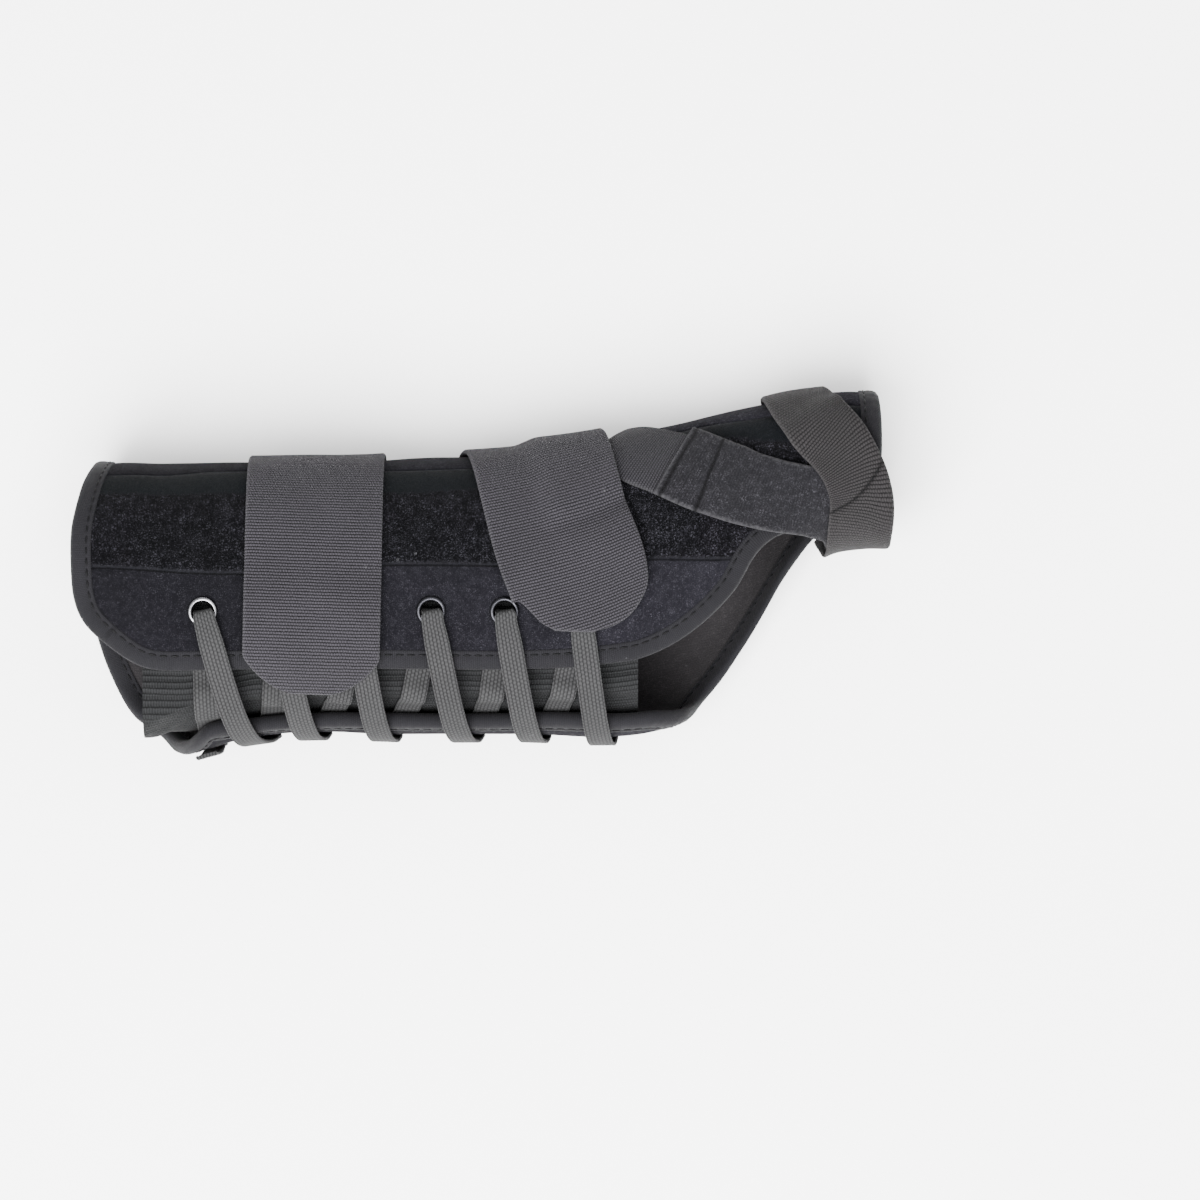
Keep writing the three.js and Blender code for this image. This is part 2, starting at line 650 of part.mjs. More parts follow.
// Flat strap along a line on the wrap
function ribbon(line, width, thick, height, options = {}) {
  const rows = line.map(unroll);
  const smooth = smoothLine(rows);
  const length = evenly(smooth, 1).total;
  const steps = Math.ceil(length / (options.step ?? 4.4));
  const across = options.across ?? 2;
  const path = evenly(smooth, steps).points;
  const tip = options.tip ?? 0;
  const endWidth = options.endWidth ?? width;
  if (tip > 0) {
    const fine = evenly(smooth, 400).points;
    const extra = TIP.slice(0, -1).map((row) => row.reach * tip);
    const rest = [];
    for (let d = tip; d < length + 0.01; d += (length - tip) / (steps - 2)) rest.push(d);
    path.length = 0;
    for (const d of [...extra, ...rest]) {
      const k = Math.min(399.999, (d / length) * 400);
      path.push(mix(fine[Math.floor(k)], fine[Math.floor(k) + 1], k % 1));
    }
  }
  const run = [0];
  for (let i = 1; i < path.length; i += 1) run.push(run[i - 1] + dist(path[i], path[i - 1]));
  const place = (i, j, over) => {
    const q = path[Math.max(0, i - 1)];
    const r = path[Math.min(path.length - 1, i + 1)];
    const size = dist(q, r);
    const half = tip > 0 ? readTable(TIP, "reach", "half", run[i] / tip) : 1;
    const wide = width + ((endWidth - width) * run[i]) / length;
    const c = wide * half * (j / across - 0.5);
    const x = path[i][0] - ((r[1] - q[1]) / size) * c;
    const g = path[i][1] + ((r[0] - q[0]) / size) * c;
    return onWrap(x, g, height(run[i], c, length, [x, g]) + over);
  };
  return slab(
    path.length - 1,
    across,
    (i, j) => place(i, j, thick),
    (i, j) => place(i, j, 0),
  );
}

// Straps lie on the wrap and rise over the laces near their tips
const TIP_RISE_END = 38; // where the forearm strap is back on the wrap, from its tip
const TIP_RISE_LENGTH = 12;
const WRIST_RISE_END = 34; // the same for the wrist strap
const BASE_RISE_START = 30; // where the wrist strap lies over the thumb strap's base
const BASE_RISE_END = 88;
const LACE_OVER = FLANGE_RISE + 2 * SEAM_GAP + LACE_THICK / 2; // height of the lace over the wrap
const OVER_LACE = LACE_OVER + LACE_THICK / 2 + SEAM_GAP;
function makeForearmStrap() {
  const height = (run) => {
    return LAYER_GAP + easeStep((TIP_RISE_END - run) / TIP_RISE_LENGTH) * (OVER_LACE - LAYER_GAP);
  };
  return ribbon(FOREARM_STRAP_LINE, STRAP_WIDTH, STRAP_THICK, height, { tip: TIP_LENGTH });
}
const OVER_EDGE = LAYER_GAP + BINDING_PROUD; // height of the thumb straps over the wrap
const OVER_BASE = LAYER_GAP + THUMB_STRAP_THICK + 2 * SEAM_GAP;
function makeWristStrap() {
  const height = (run, c) => {
    const lace = easeStep((WRIST_RISE_END - run) / TIP_RISE_LENGTH) * (OVER_LACE - LAYER_GAP);
    const start = easeStep((run - BASE_RISE_START) / 8);
    const base = easeStep((c + 6) / 8) * start * easeStep((BASE_RISE_END - run) / 10);
    return LAYER_GAP + Math.max(lace, base * (OVER_BASE - LAYER_GAP));
  };
  return ribbon(WRIST_STRAP_LINE, STRAP_WIDTH, STRAP_THICK, height, { tip: TIP_LENGTH });
}
function makeThumbBase() {
  const options = { step: 3.5, across: 4 };
  return ribbon(THUMB_BASE_LINE, THUMB_BASE_WIDTH, THUMB_STRAP_THICK, () => LAYER_GAP, options);
}
function makeThumbStrap() {
  const height = (run) => OVER_EDGE + easeStep((25 - run) / 6) * (THUMB_STRAP_THICK + SEAM_GAP);
  const options = { step: 3, across: 4, endWidth: THUMB_STRAP_END };
  return ribbon(THUMB_STRAP_LINE, THUMB_STRAP_WIDTH, THUMB_STRAP_THICK, height, options);
}
const BAND_OVER_STRAP = 78; // the length at its end that lies over the thumb strap
function makeThumbBand() {
  const over = THUMB_STRAP_THICK + SEAM_GAP + 0.3;
  const height = (run, c, length) => {
    const first = easeStep((BAND_OVER_STRAP - run) / 8);
    const ends = Math.max(first, easeStep((run - length + 22) / 8));
    return OVER_EDGE + over * ends;
  };
  return ribbon(THUMB_BAND_LINE, THUMB_BAND_WIDTH, THUMB_STRAP_THICK, height);
}

// Lace: one flat lace, out through each back eyelet, over both edges, in through the next palm
// eyelet and back up inside
function makeLace() {
  const stops = [];
  const girthOf = (x) => sectionAt(x).girth;
  const palm = palmEyelets.map(([x, g]) => [x, g + girthOf(x)]);
  const arm = (from, to, inside) => {
    const steps = Math.max(6, Math.round(dist(from, to) / 6.5));
    const side = new THREE.Vector2(to[0] - from[0], to[1] - from[1]).normalize();
    const flip = side.y < 0 ? -1 : 1;
    for (let i = 0; i <= steps; i += 1) {
      const p = mix(from, to, i / steps);
      const d = dist(from, to);
      const near = Math.min(i / steps, 1 - i / steps) * d;
      if (near < 2.2 && !(i === 0 && stops.length === 0)) continue;
      const under = [-4, 0, 4].map((a) => gussetHeight(p[0] + a, p[1]));
      const raised = Math.max(...under) + GUSSET_DEPTH;
      const ride = raised + Math.min(raised, 3 * SEAM_GAP) - LACE_UNDER;
      const h = inside ? Math.max(-LACE_UNDER, ride) : Math.max(LACE_OVER, ride);
      const width = LACE_PINCH + (LACE_WIDTH - LACE_PINCH) * easeStep((near - 3) / 8);
      stops.push({ x: p[0], g: p[1], h, width, side: [flip * side.y, -flip * side.x] });
    }
  };
  const pass = (at, before, after, outward) => {
    const a = new THREE.Vector2(before[0] - at[0], before[1] - at[1]).normalize();
    const b = new THREE.Vector2(after[0] - at[0], after[1] - at[1]).normalize();
    const low = { h: -LACE_UNDER, d: outward ? a : b };
    const high = { h: LACE_OVER, d: outward ? b : a };
    const rows = [
      [low, 1.0, 0.0],
      [low, 0.25, 0.35],
      [low, 0.0, 1.1],
      [high, 0.0, -1.1],
      [high, 0.25, -0.35],
      [high, 1.0, 0.0],
    ];
    const up = normalAt(at[0], at[1]);
    const list = rows.map(([end, out, rise]) => ({
      x: at[0] + end.d.x * out,
      g: at[1] + end.d.y * out,
      h: end.h + rise,
      up,
      width: LACE_PINCH,
      side: [Math.sign(end.d.y) * end.d.y, -Math.sign(end.d.y) * end.d.x],
    }));
    stops.push(...(outward ? list : list.reverse()));
  };
  const first = [palm[0][0] - 2, palm[0][1] - 20];
  arm(first, palm[0], false);
  pass(palm[0], first, backEyelets[0], false);
  for (let i = 0; i < backEyelets.length; i += 1) {
    arm(palm[i], backEyelets[i], true);
    pass(backEyelets[i], palm[i], palm[i + 1], true);
    arm(backEyelets[i], palm[i + 1], false);
    const next = backEyelets[i + 1] ?? [palm[i + 1][0] + 4, palm[i + 1][1] - 14];
    pass(palm[i + 1], backEyelets[i], next, false);
  }
  const lastPalm = palm[palm.length - 1];
  arm(lastPalm, [lastPalm[0] + 4, lastPalm[1] - 14], true);
  const spots = stops.map((s) => {
    return s.up ? onWrap(s.x, s.g, 0).addScaledVector(s.up, s.h) : onWrap(s.x, s.g, s.h);
  });
  const rings = stops.map((s, i) => {
    const before = spots[Math.max(0, i - 1)];
    const after = spots[Math.min(spots.length - 1, i + 1)];
    const ahead = after.clone().sub(before).normalize();
    const e = 0.5;
    const hint = onWrap(s.x + s.side[0] * e, s.g + s.side[1] * e, s.h).sub(spots[i]);
    const flat = hint.addScaledVector(ahead, -hint.dot(ahead)).normalize();
    const up = new THREE.Vector3().crossVectors(ahead, flat).normalize();
    const w = s.width / 2;
    const t = LACE_THICK / 2;
    return [
      [-w, -t],
      [w, -t],
      [w, t],
      [-w, t],
    ].map(([a, b]) => spots[i].clone().addScaledVector(flat, a).addScaledVector(up, b));
  });
  return sweep(rings, false);
}

const part = new THREE.Group();
const frame = new THREE.Group();
part.add(frame);
function addPiece(name, geometry, color, roughness, metalness = 0) {
  const material = new THREE.MeshStandardMaterial({ color, roughness, metalness });
  const mesh = new THREE.Mesh(geometry, material);
  mesh.name = name;
  frame.add(mesh);
}

addPiece("wrap_body", makeWrapBody(), 0x2c2a30, 0.95);
addPiece("edge_binding", makeBinding(), 0x3a383d, 0.8);
addPiece("knit_gusset", makeGusset(), 0x46464a, 0.85);
addPiece("forearm_strap", makeForearmStrap(), 0x504e54, 0.75);
addPiece("wrist_strap", makeWristStrap(), 0x504e54, 0.75);
addPiece("thumb_strap_base", makeThumbBase(), 0x4a484d, 0.75);
addPiece("thumb_strap", makeThumbStrap(), 0x3e3c41, 0.95);
addPiece("thumb_band", makeThumbBand(), 0x4b494b, 0.8);
addPiece("lace", makeLace(), 0x5a5a5b, 0.8);
backEyelets.forEach((at, i) => {
  const ring = lathe(eyeletProfile, EYELET_SIDES, standOn(at));
  addPiece(`eyelet_back_${i + 1}`, ring, i === 0 ? 0xd8d8da : 0x5a5a60, 0.25, 1);
});
palmEyelets.forEach((at, i) => {
  addPiece(`eyelet_palm_${i + 1}`, lathe(eyeletProfile, EYELET_SIDES, standOn(at)), 0x5a5a60, 0.3, 1);
});

// Origin at the middle of the underside
frame.updateMatrixWorld(true);
const box = new THREE.Box3().setFromObject(frame);
frame.position.set(-(box.min.x + box.max.x) / 2, -(box.min.y + box.max.y) / 2, -box.min.z);

export default part;
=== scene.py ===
"""Thumb spica splint for a right hand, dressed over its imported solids.

The wrap is laid out flat in unrolled coordinates, x along the forearm and g round the girth, in
millimetres, and every layer is lifted from it to its height over the wrap's outside.
"""

import logging
import math
from collections.abc import Callable, Sequence
from dataclasses import dataclass, field
from enum import Enum

import bpy
import numpy as np
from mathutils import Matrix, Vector


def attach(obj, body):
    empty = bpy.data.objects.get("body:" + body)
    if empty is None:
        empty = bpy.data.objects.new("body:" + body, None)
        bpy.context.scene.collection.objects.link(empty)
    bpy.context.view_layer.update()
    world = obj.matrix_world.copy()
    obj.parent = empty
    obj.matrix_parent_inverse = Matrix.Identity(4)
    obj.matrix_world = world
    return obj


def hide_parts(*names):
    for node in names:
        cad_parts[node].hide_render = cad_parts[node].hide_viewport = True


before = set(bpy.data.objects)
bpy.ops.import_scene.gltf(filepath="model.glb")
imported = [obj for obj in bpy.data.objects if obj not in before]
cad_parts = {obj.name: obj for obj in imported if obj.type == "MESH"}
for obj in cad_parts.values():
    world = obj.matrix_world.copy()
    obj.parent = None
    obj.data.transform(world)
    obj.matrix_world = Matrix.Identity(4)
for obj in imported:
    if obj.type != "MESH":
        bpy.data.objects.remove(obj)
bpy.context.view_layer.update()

log = logging.getLogger("splint")

MM = 0.001
SHIFT = np.array([0.140, -0.061, 0.0])  # the wrap's own middle to the frame's, in millimetres
CAD_COLUMNS = 24
CAD_ROWS = 33
SHARP = math.radians(62)  # edges bent further than this stay crisp


class Face(Enum):
    """The face of the wrap that a table row is read on."""

    BACK = "back"
    PALM = "palm"
    ROUND = "round"
    TURNED = "turned"


B, P, R, T = Face.BACK, Face.PALM, Face.ROUND, Face.TURNED
Row = tuple[float, float, Face]

# Oval sections: along, thumb side, little finger side, top and bottom, as shares of the sizes
SECTIONS = [
    (0.0, 0.2005, 0.9675, 1.0, -0.026),
    (0.1282, 0.2005, 0.9919, 0.985, -0.026),
    (0.2137, 0.2005, 0.9485, 0.97, -0.026),
    (0.4274, 0.1897, 0.9404, 0.9, -0.026),
    (0.5433, 0.1734, 0.9404, 0.86, -0.026),
    (0.6422, 0.1436, 0.9485, 0.83, -0.026),
    (0.6984, 0.1111, 0.9377, 0.81, -0.026),
    (0.7387, 0.0921, 0.9106, 0.8, -0.02),
    (0.7875, 0.0677, 0.8293, 0.78, 0.0),
    (0.8303, 0.0461, 0.6911, 0.75, 0.03),
    (0.8669, 0.0271, 0.5312, 0.72, 0.07),
    (0.9158, 0.0108, 0.4228, 0.7, 0.1),
    (0.9609, 0.0054, 0.3984, 0.69, 0.12),
    (1.0, 0.0136, 0.3957, 0.67, 0.13),
]

# The wrap's edge in four runs: along, across and the face they are read on
EDGE_BACK: list[Row] = [
    (0.0403, 0.6911, B), (0.0879, 0.7588, B), (0.1648, 0.7669, B), (0.3968, 0.7642, B),
    (0.641, 0.7534, B), (0.696, 0.7317, B), (0.7509, 0.6667, B), (0.8034, 0.5556, B),
    (0.8303, 0.4553, B), (0.8474, 0.4173, B), (0.8694, 0.3957, B), (0.922, 0.379, B),
    (0.95, 0.366, B),
]
EDGE_END: list[Row] = [
    (0.95, 0.366, B), (0.97, 0.335, B), (0.981, 0.27, B), (0.985, 0.18, B),
    (0.9853, 0.0976, B), (0.983, 0.0108, B), (0.983, 0.0976, P), (0.981, 0.19, P),
    (0.974, 0.27, P), (0.958, 0.325, P), (0.935, 0.358, P),
]
EDGE_PALM: list[Row] = [
    (0.935, 0.358, P), (0.908, 0.405, P), (0.88, 0.48, P), (0.852, 0.58, P),
    (0.824, 0.69, P), (0.794, 0.79, P), (0.768, 0.86, P), (0.7436, 0.897, T),
    (0.7082, 0.897, T), (0.641, 0.9024, T), (0.5189, 0.9051, T), (0.3968, 0.9051, T),
    (0.2747, 0.9079, T), (0.2198, 0.9187, T), (0.162, 0.935, T),
]
EDGE_FOREARM: list[Row] = [
    (0.162, 0.935, T), (0.098, 0.952, P), (0.0647, 0.9, P), (0.036, 0.7913, P),
    (0.0128, 0.6287, P), (0.0037, 0.4661, P), (0.0122, 0.3035, P), (0.0208, 0.2033, B),
    (0.0085, 0.2764, B), (0.0, 0.3794, B), (0.0, 0.4824, B), (0.0037, 0.5691, B),
    (0.0147, 0.6314, B), (0.0403, 0.6911, B),
]

# Middle lines of the straps
FOREARM_LINE: list[Row] = [
    (0.29, 0.812, B), (0.2934, 0.5, B), (0.2949, 0.2, B), (0.2955, 0.55, P), (0.2955, 0.78, P),
]
WRIST_LINE: list[Row] = [
    (0.6104, 0.657, B), (0.6166, 0.5475, B), (0.5921, 0.3848, B), (0.5617, 0.1734, B),
    (0.53, 0.45, P), (0.51, 0.76, P),
]
THUMB_BASE_LINE: list[Row] = [(0.647, 0.155, B), (0.7, 0.187, B), (0.7753, 0.2412, B)]
THUMB_STRAP_LINE: list[Row] = [
    (0.7302, 0.206, B), (0.7775, 0.2466, B), (0.8474, 0.29, B), (0.9121, 0.3171, B),
    (0.9487, 0.37, B), (0.9536, 0.37, R), (0.9365, 0.271, R),
]
THUMB_BAND_LINE: list[Row] = [
    (0.944, 0.31, R), (0.952, 0.37, R), (0.958, 0.37, B), (0.96, 0.29, B),
    (0.9505, 0.2222, B), (0.934, 0.1653, B), (0.9033, 0.0945, B), (0.8789, 0.024, B),
    (0.888, 0.11, P), (0.91, 0.23, P),
]

# Lines across the back where the fabric changes
SEAM_LINE: list[Row] = [
    (0.0, 0.487, B), (0.0345, 0.4851, B), (0.2028, 0.5014, B), (0.3969, 0.477, B),
    (0.6958, 0.4634, B), (0.8288, 0.4553, B), (0.98, 0.36, B),
]
BAND_TOP: list[Row] = [
    (0.0, 0.24, B), (0.0368, 0.2357, B), (0.2113, 0.2258, B), (0.375, 0.2213, B),
    (0.4774, 0.2158, B), (0.641, 0.1699, B), (0.7569, 0.1056, B), (0.8472, 0.0732, B),
    (0.98, 0.05, B),
]
BAND_LOW: list[Row] = [
    (0.0, 0.29, B), (0.0466, 0.2871, B), (0.2139, 0.2871, B), (0.3748, 0.2845, B),
    (0.4774, 0.2763, B), (0.641, 0.2222, B), (0.7802, 0.1379, B), (0.8497, 0.1435, B),
    (0.98, 0.17, B),
]

# Rounded strap end: reach from the tip and half the width, as shares
TIP = [(0.0, 0.3), (0.12, 0.48), (0.33, 0.68), (0.65, 0.88), (1.0, 1.0)]

EYELETS_BACK = [0.16, 0.2515, 0.3443, 0.4359, 0.525, 0.6166]
EYELETS_PALM = [0.168, 0.2369, 0.2991, 0.3858, 0.4872, 0.569, 0.6508]


def ease(t: np.ndarray | float) -> np.ndarray:
    """Smooth step from 0 to 1."""
    u = np.clip(t, 0.0, 1.0)
    return u * u * (3 - 2 * u)


def read_table(keys: Sequence[float], values: Sequence[float], at: np.ndarray) -> np.ndarray:
    """Reads a table smoothly, without overshoot.

    Args:
        keys: rising places.
        values: the value at each place.
        at: where to read it.

    Returns:
        The values there.
    """
    k = np.asarray(keys, float)
    v = np.asarray(values, float)
    at = np.clip(np.asarray(at, float), k[0], k[-1])
    gap = np.diff(k)
    rise = np.diff(v) / gap
    slope = np.zeros(len(k))
    same = rise[:-1] * rise[1:] > 0
    mean = (rise[:-1] * gap[1:] + rise[1:] * gap[:-1]) / (gap[:-1] + gap[1:])
    slope[1:-1] = np.where(same, mean, 0)
    i = np.clip(np.searchsorted(k, at, side="right") - 1, 0, len(k) - 2)
    t = (at - k[i]) / gap[i]
    start = (2 * t**3 - 3 * t**2 + 1) * v[i] + (t**3 - 2 * t**2 + t) * gap[i] * slope[i]
    end = (3 * t**2 - 2 * t**3) * v[i + 1] + (t**3 - t**2) * gap[i] * slope[i + 1]
    return start + end


def smooth_line(points: np.ndarray, ends: Sequence | None = None, steps: int = 16) -> np.ndarray:
    """Draws a smooth line through points.

    Args:
        points: rows of coordinates.
        ends: a point before the first and one after the last, or none.
        steps: steps between two points.

    Returns:
        The line's points.
    """
    pts = np.asarray(points, float)
    first = ends[0] if ends is not None else 2 * pts[0] - pts[1]
    last = ends[1] if ends is not None else 2 * pts[-1] - pts[-2]
    every = np.vstack([first, pts, last])
    line = []
    for i in range(len(pts) - 1):
        a, b, c, d = every[i : i + 4]
        t1 = math.sqrt(np.linalg.norm(b - a)) or 1e-6
        t2 = t1 + math.sqrt(np.linalg.norm(c - b))
        t3 = t2 + (math.sqrt(np.linalg.norm(d - c)) or 1e-6)
        for j in range(steps):
            t = t1 + (t2 - t1) * j / steps
            ab = a + (b - a) * t / t1
            bc = b + (c - b) * (t - t1) / (t2 - t1)
            cd = c + (d - c) * (t - t2) / (t3 - t2)
            abc = ab + (bc - ab) * t / t2
            bcd = bc + (cd - bc) * (t - t1) / (t3 - t1)
            line.append(abc + (bcd - abc) * (t - t1) / (t2 - t1))
    line.append(pts[-1])
    return np.array(line)


def run_along(line: np.ndarray) -> np.ndarray:
    """Length along a line at each of its points."""
    return np.concatenate([[0.0], np.cumsum(np.linalg.norm(np.diff(line, axis=0), axis=1))])


def evenly(line: np.ndarray, count: int) -> np.ndarray:
    """Points at even steps along a line, count steps in all.

    Args:
        line: its points.
        count: how many steps.

    Returns:
        The new points, one more than the steps.
    """
    run = run_along(line)
    want = np.linspace(0, run[-1], count + 1)
    return np.stack([np.interp(want, run, line[:, k]) for k in range(line.shape[1])], axis=1)


def soft_noise(x: np.ndarray, g: np.ndarray, size: float, seed: int) -> np.ndarray:
    """Gentle unevenness from a few waves, about -1 to 1.

    Args:
        x: places along, in millimetres.
        g: places round, in millimetres.
        size: typical size of a hump, in millimetres.
        seed: which set of waves.

    Returns:
        The height at each place.
    """
    rng = np.random.default_rng(seed)
    total = np.zeros(np.broadcast(x, g).shape)
    for _ in range(9):
        turn = rng.uniform(0, 2 * math.pi)
        wave = 2 * math.pi / (size * rng.uniform(1.2, 2.8))
        total = total + np.sin(wave * (x * math.cos(turn) + g * math.sin(turn)) + rng.uniform(0, 6))
    return total / 4.5


@dataclass
class WrapForm:
    """The wrap's outside, its edge and every place on it, in millimetres."""

    length: float = 241.0
    width: float = 108.5
    height: float = 62.0
    roundness: float = 2.4
    wall: float = 3.5
    rest_rise: float = 2.2
    flat_blend: float = 1.2
    columns: int = 216
    rows: int = 156
    step: float = 0.5
    reach: float = 130.0
    edge: np.ndarray = field(init=False)
    inward: np.ndarray = field(init=False)
    coarse: np.ndarray = field(init=False)

    def __post_init__(self) -> None:
        """Lays the sections and the edge."""
        self._lay_sections()
        self._lay_edge()

    def _lay_sections(self) -> None:
        """Tables of the ovals and of the angle at each share of their girth."""
        xs = np.arange(-self.reach, self.reach + self.step / 2, self.step)
        along = xs / self.length + 0.5
        rows = np.array(SECTIONS)
        thumb, little, top, low = (read_table(rows[:, 0], rows[:, k], along) for k in (1, 2, 3, 4))
        thumb = self.width * (0.5 - thumb)
        little = self.width * (0.5 - little)
        self._y = (thumb + little) / 2
        self._a = (thumb - little) / 2
        self._z = self.height * (top + low) / 2
        self._b = self.height * (top - low) / 2
        turn = np.linspace(0, 2 * math.pi, 1441)
        n = self.roundness
        wide = np.abs(np.cos(turn)[None, :] / self._a[:, None]) ** n
        tall = np.abs(np.sin(turn)[None, :] / self._b[:, None]) ** n
        r = (wide + tall) ** (-1 / n)
        y = r * np.cos(turn)
        z = r * np.sin(turn)
        parts = np.hypot(np.diff(y, axis=1), np.diff(z, axis=1))
        arc = np.concatenate([np.zeros((len(xs), 1)), np.cumsum(parts, axis=1)], axis=1)
        self._girth = arc[:, -1]
        self._share = np.linspace(0, 1, 721)
        rows_of = [np.interp(self._share * a[-1], a, turn) for a in arc]
        self._turn = np.array(rows_of)

    def _read(self, table: np.ndarray, x: np.ndarray) -> np.ndarray:
        """Value of a section table at x.

        Args:
            table: its values at even steps.
            x: places along, in millimetres.

        Returns:
            The values there.
        """
        place = np.clip((x + self.reach) / self.step, 0, len(table) - 1.001)
        i = place.astype(int)
        t = place - i
        return table[i] * (1 - t) + table[i + 1] * t

    def girth_at(self, x: np.ndarray | float) -> np.ndarray:
        """Girth of the wrap's outside at x."""
        return self._read(self._girth, np.asarray(x, float))

    def turn_at(self, x: np.ndarray, g: np.ndarray) -> np.ndarray:
        """Polar angle of a place on the oval at x, by its girth.

        Args:
            x: places along, in millimetres.
            g: places round, in millimetres.

        Returns:
            The angles, in radians.
        """
        q = np.abs(g) / self.girth_at(x)
        whole = np.floor(q)
        place = np.clip((x + self.reach) / self.step, 0, len(self._turn) - 1.001)
        i = place.astype(int)
        t = place - i
        at = (q - whole) * 720
        j = np.clip(at.astype(int), 0, 719)
        u = at - j
        near = self._turn[i, j] * (1 - u) + self._turn[i, j + 1] * u
        far = self._turn[i + 1, j] * (1 - u) + self._turn[i + 1, j + 1] * u
        return np.sign(g) * (2 * math.pi * whole + near * (1 - t) + far * t)

    def on_wrap(self, x: np.ndarray, g: np.ndarray, h: np.ndarray | float = 0.0) -> np.ndarray:
        """Places over the wrap.

        Args:
            x: along.
            g: round, from the thumb side over the back.
            h: height over the outside.

        Returns:
            Their coordinates in the last axis.
        """
        x, g, h = np.broadcast_arrays(*(np.asarray(v, float) for v in (x, g, h)))
        a = self._read(self._a, x)
        b = self._read(self._b, x)
        turn = self.turn_at(x, g)
        n = self.roundness
        c, s = np.cos(turn), np.sin(turn)
        r = (np.abs(c / a) ** n + np.abs(s / b) ** n) ** (-1 / n)
        y, z = r * c, r * s
        ny = np.sign(y) * np.abs(y) ** (n - 1) / a**n
        nz = np.sign(z) * np.abs(z) ** (n - 1) / b**n
        size = np.hypot(ny, nz)
        floor = self.rest_rise - h
        over = self._read(self._z, x) + z + h * nz / size - floor
        f = self.flat_blend
        lift = np.where(over < -f, 0, np.where(over < f, (over + f) ** 2 / (4 * f), over))
        return np.stack([x, self._read(self._y, x) + y + h * ny / size, floor + lift], axis=-1)

    def normal_at(self, x: np.ndarray, g: np.ndarray) -> np.ndarray:
        """Outward direction at places on the wrap.

        Args:
            x: places along, in millimetres.
            g: places round, in millimetres.

        Returns:
            Unit vectors in the last axis.
        """
        x = np.asarray(x, float)
        g = np.asarray(g, float)
        e = 0.4
        along = self.on_wrap(x + e, g) - self.on_wrap(x - e, g)
        round_ = self.on_wrap(x, g + e) - self.on_wrap(x, g - e)
        out = np.cross(round_, along)
        return out / np.linalg.norm(out, axis=-1, keepdims=True)

    def unroll(self, rows: Sequence[Row]) -> np.ndarray:
        """Turns table rows into unrolled places.

        Args:
            rows: the table rows.

        Returns:
            For each row, its places along and round.
        """
        out = []
        for along, across, face in rows:
            x = self.length * (along - 0.5)
            one = np.array(x)
            y, a, b = (float(self._read(t, one)) for t in (self._y, self._a, self._b))
            u = max(-1.0, min(1.0, (self.width * (0.5 - across) - y) / a))
            z = b * max(0.0, 1 - abs(u) ** self.roundness) ** (1 / self.roundness)
            place = min((x + self.reach) / self.step, len(self._turn) - 1.001)
            i = int(place)
            turns = self._turn[i] * (1 - place + i) + self._turn[i + 1] * (place - i)
            girth = float(self.girth_at(x))
            g = float(np.interp(math.atan2(z, u * a), turns, self._share)) * girth
            value = {Face.BACK: g, Face.PALM: -g, Face.ROUND: girth - g, Face.TURNED: g - girth}
            out.append((x, value[face]))
        return np.array(out)

    def _edge_points(self, counts: Sequence[int]) -> np.ndarray:
        """The closed edge, with so many steps in each of its runs.

        Args:
            counts: steps in each run.

        Returns:
            The points, in order round the edge.
        """
        runs = [self.unroll(rows) for rows in (EDGE_BACK, EDGE_END, EDGE_PALM, EDGE_FOREARM)]
        out = []
        for i, points in enumerate(runs):
            ends = (runs[(i + 3) % 4][-2], runs[(i + 1) % 4][1])
            out.append(evenly(smooth_line(points, ends), counts[i])[:-1])
        return np.vstack(out)

    def _lay_edge(self) -> None:
        """The edge and its inward directions, soft over a few millimetres."""
        self.coarse = self._edge_points((CAD_COLUMNS, CAD_ROWS, CAD_COLUMNS, CAD_ROWS))
        self.edge = self._edge_points((self.columns, self.rows, self.columns, self.rows))
        ahead = np.roll(self.edge, -1, axis=0) - np.roll(self.edge, 1, axis=0)
        ahead /= np.linalg.norm(ahead, axis=1, keepdims=True)
        inward = np.stack([ahead[:, 1], -ahead[:, 0]], axis=1)
        soft = np.zeros_like(inward)
        for k in range(-7, 8):
            soft += np.roll(inward, k, axis=0) * math.exp(-((k / 4.5) ** 2))
        self.inward = soft / np.linalg.norm(soft, axis=1, keepdims=True)

    def inset(self, by: float) -> np.ndarray:
        """The edge moved inwards."""
        return self.edge + self.inward * by

    def inside_by(self, x: np.ndarray, g: np.ndarray) -> np.ndarray:
        """How far places are inside the edge, negative outside it.

        Args:
            x: places along, in millimetres.
            g: places round, in millimetres.

        Returns:
            The distances, in millimetres.
        """
        shape = np.broadcast(x, g).shape
        px = np.broadcast_to(x, shape).ravel()
        pg = np.broadcast_to(g, shape).ravel()
        best = np.full(px.shape, np.inf)
        inside = np.zeros(px.shape, bool)
        for p, q in zip(self.coarse, np.roll(self.coarse, -1, axis=0)):
            d = q - p
            t = np.clip(((px - p[0]) * d[0] + (pg - p[1]) * d[1]) / (d @ d), 0, 1)
            best = np.minimum(best, np.hypot(px - p[0] - t * d[0], pg - p[1] - t * d[1]))
            if p[1] != q[1]:
                cross = (p[1] > pg) != (q[1] > pg)
                inside ^= cross & (px < p[0] + (pg - p[1]) / d[1] * d[0])
        return np.where(inside, best, -best).reshape(shape)

    def line_girth(self, rows: Sequence[Row], along: np.ndarray) -> np.ndarray:
        """Girth of a table's line at shares of the length.

        Args:
            rows: the line's table rows.
            along: shares of the length.

        Returns:
            The girths, in millimetres.
        """
        places = self.unroll(rows)
        keys = [row[0] for row in rows]
        values = places[:, 1]
        if keys[0] > keys[1]:
            keys, values = keys[::-1], values[::-1]
        return read_table(keys, values, along)


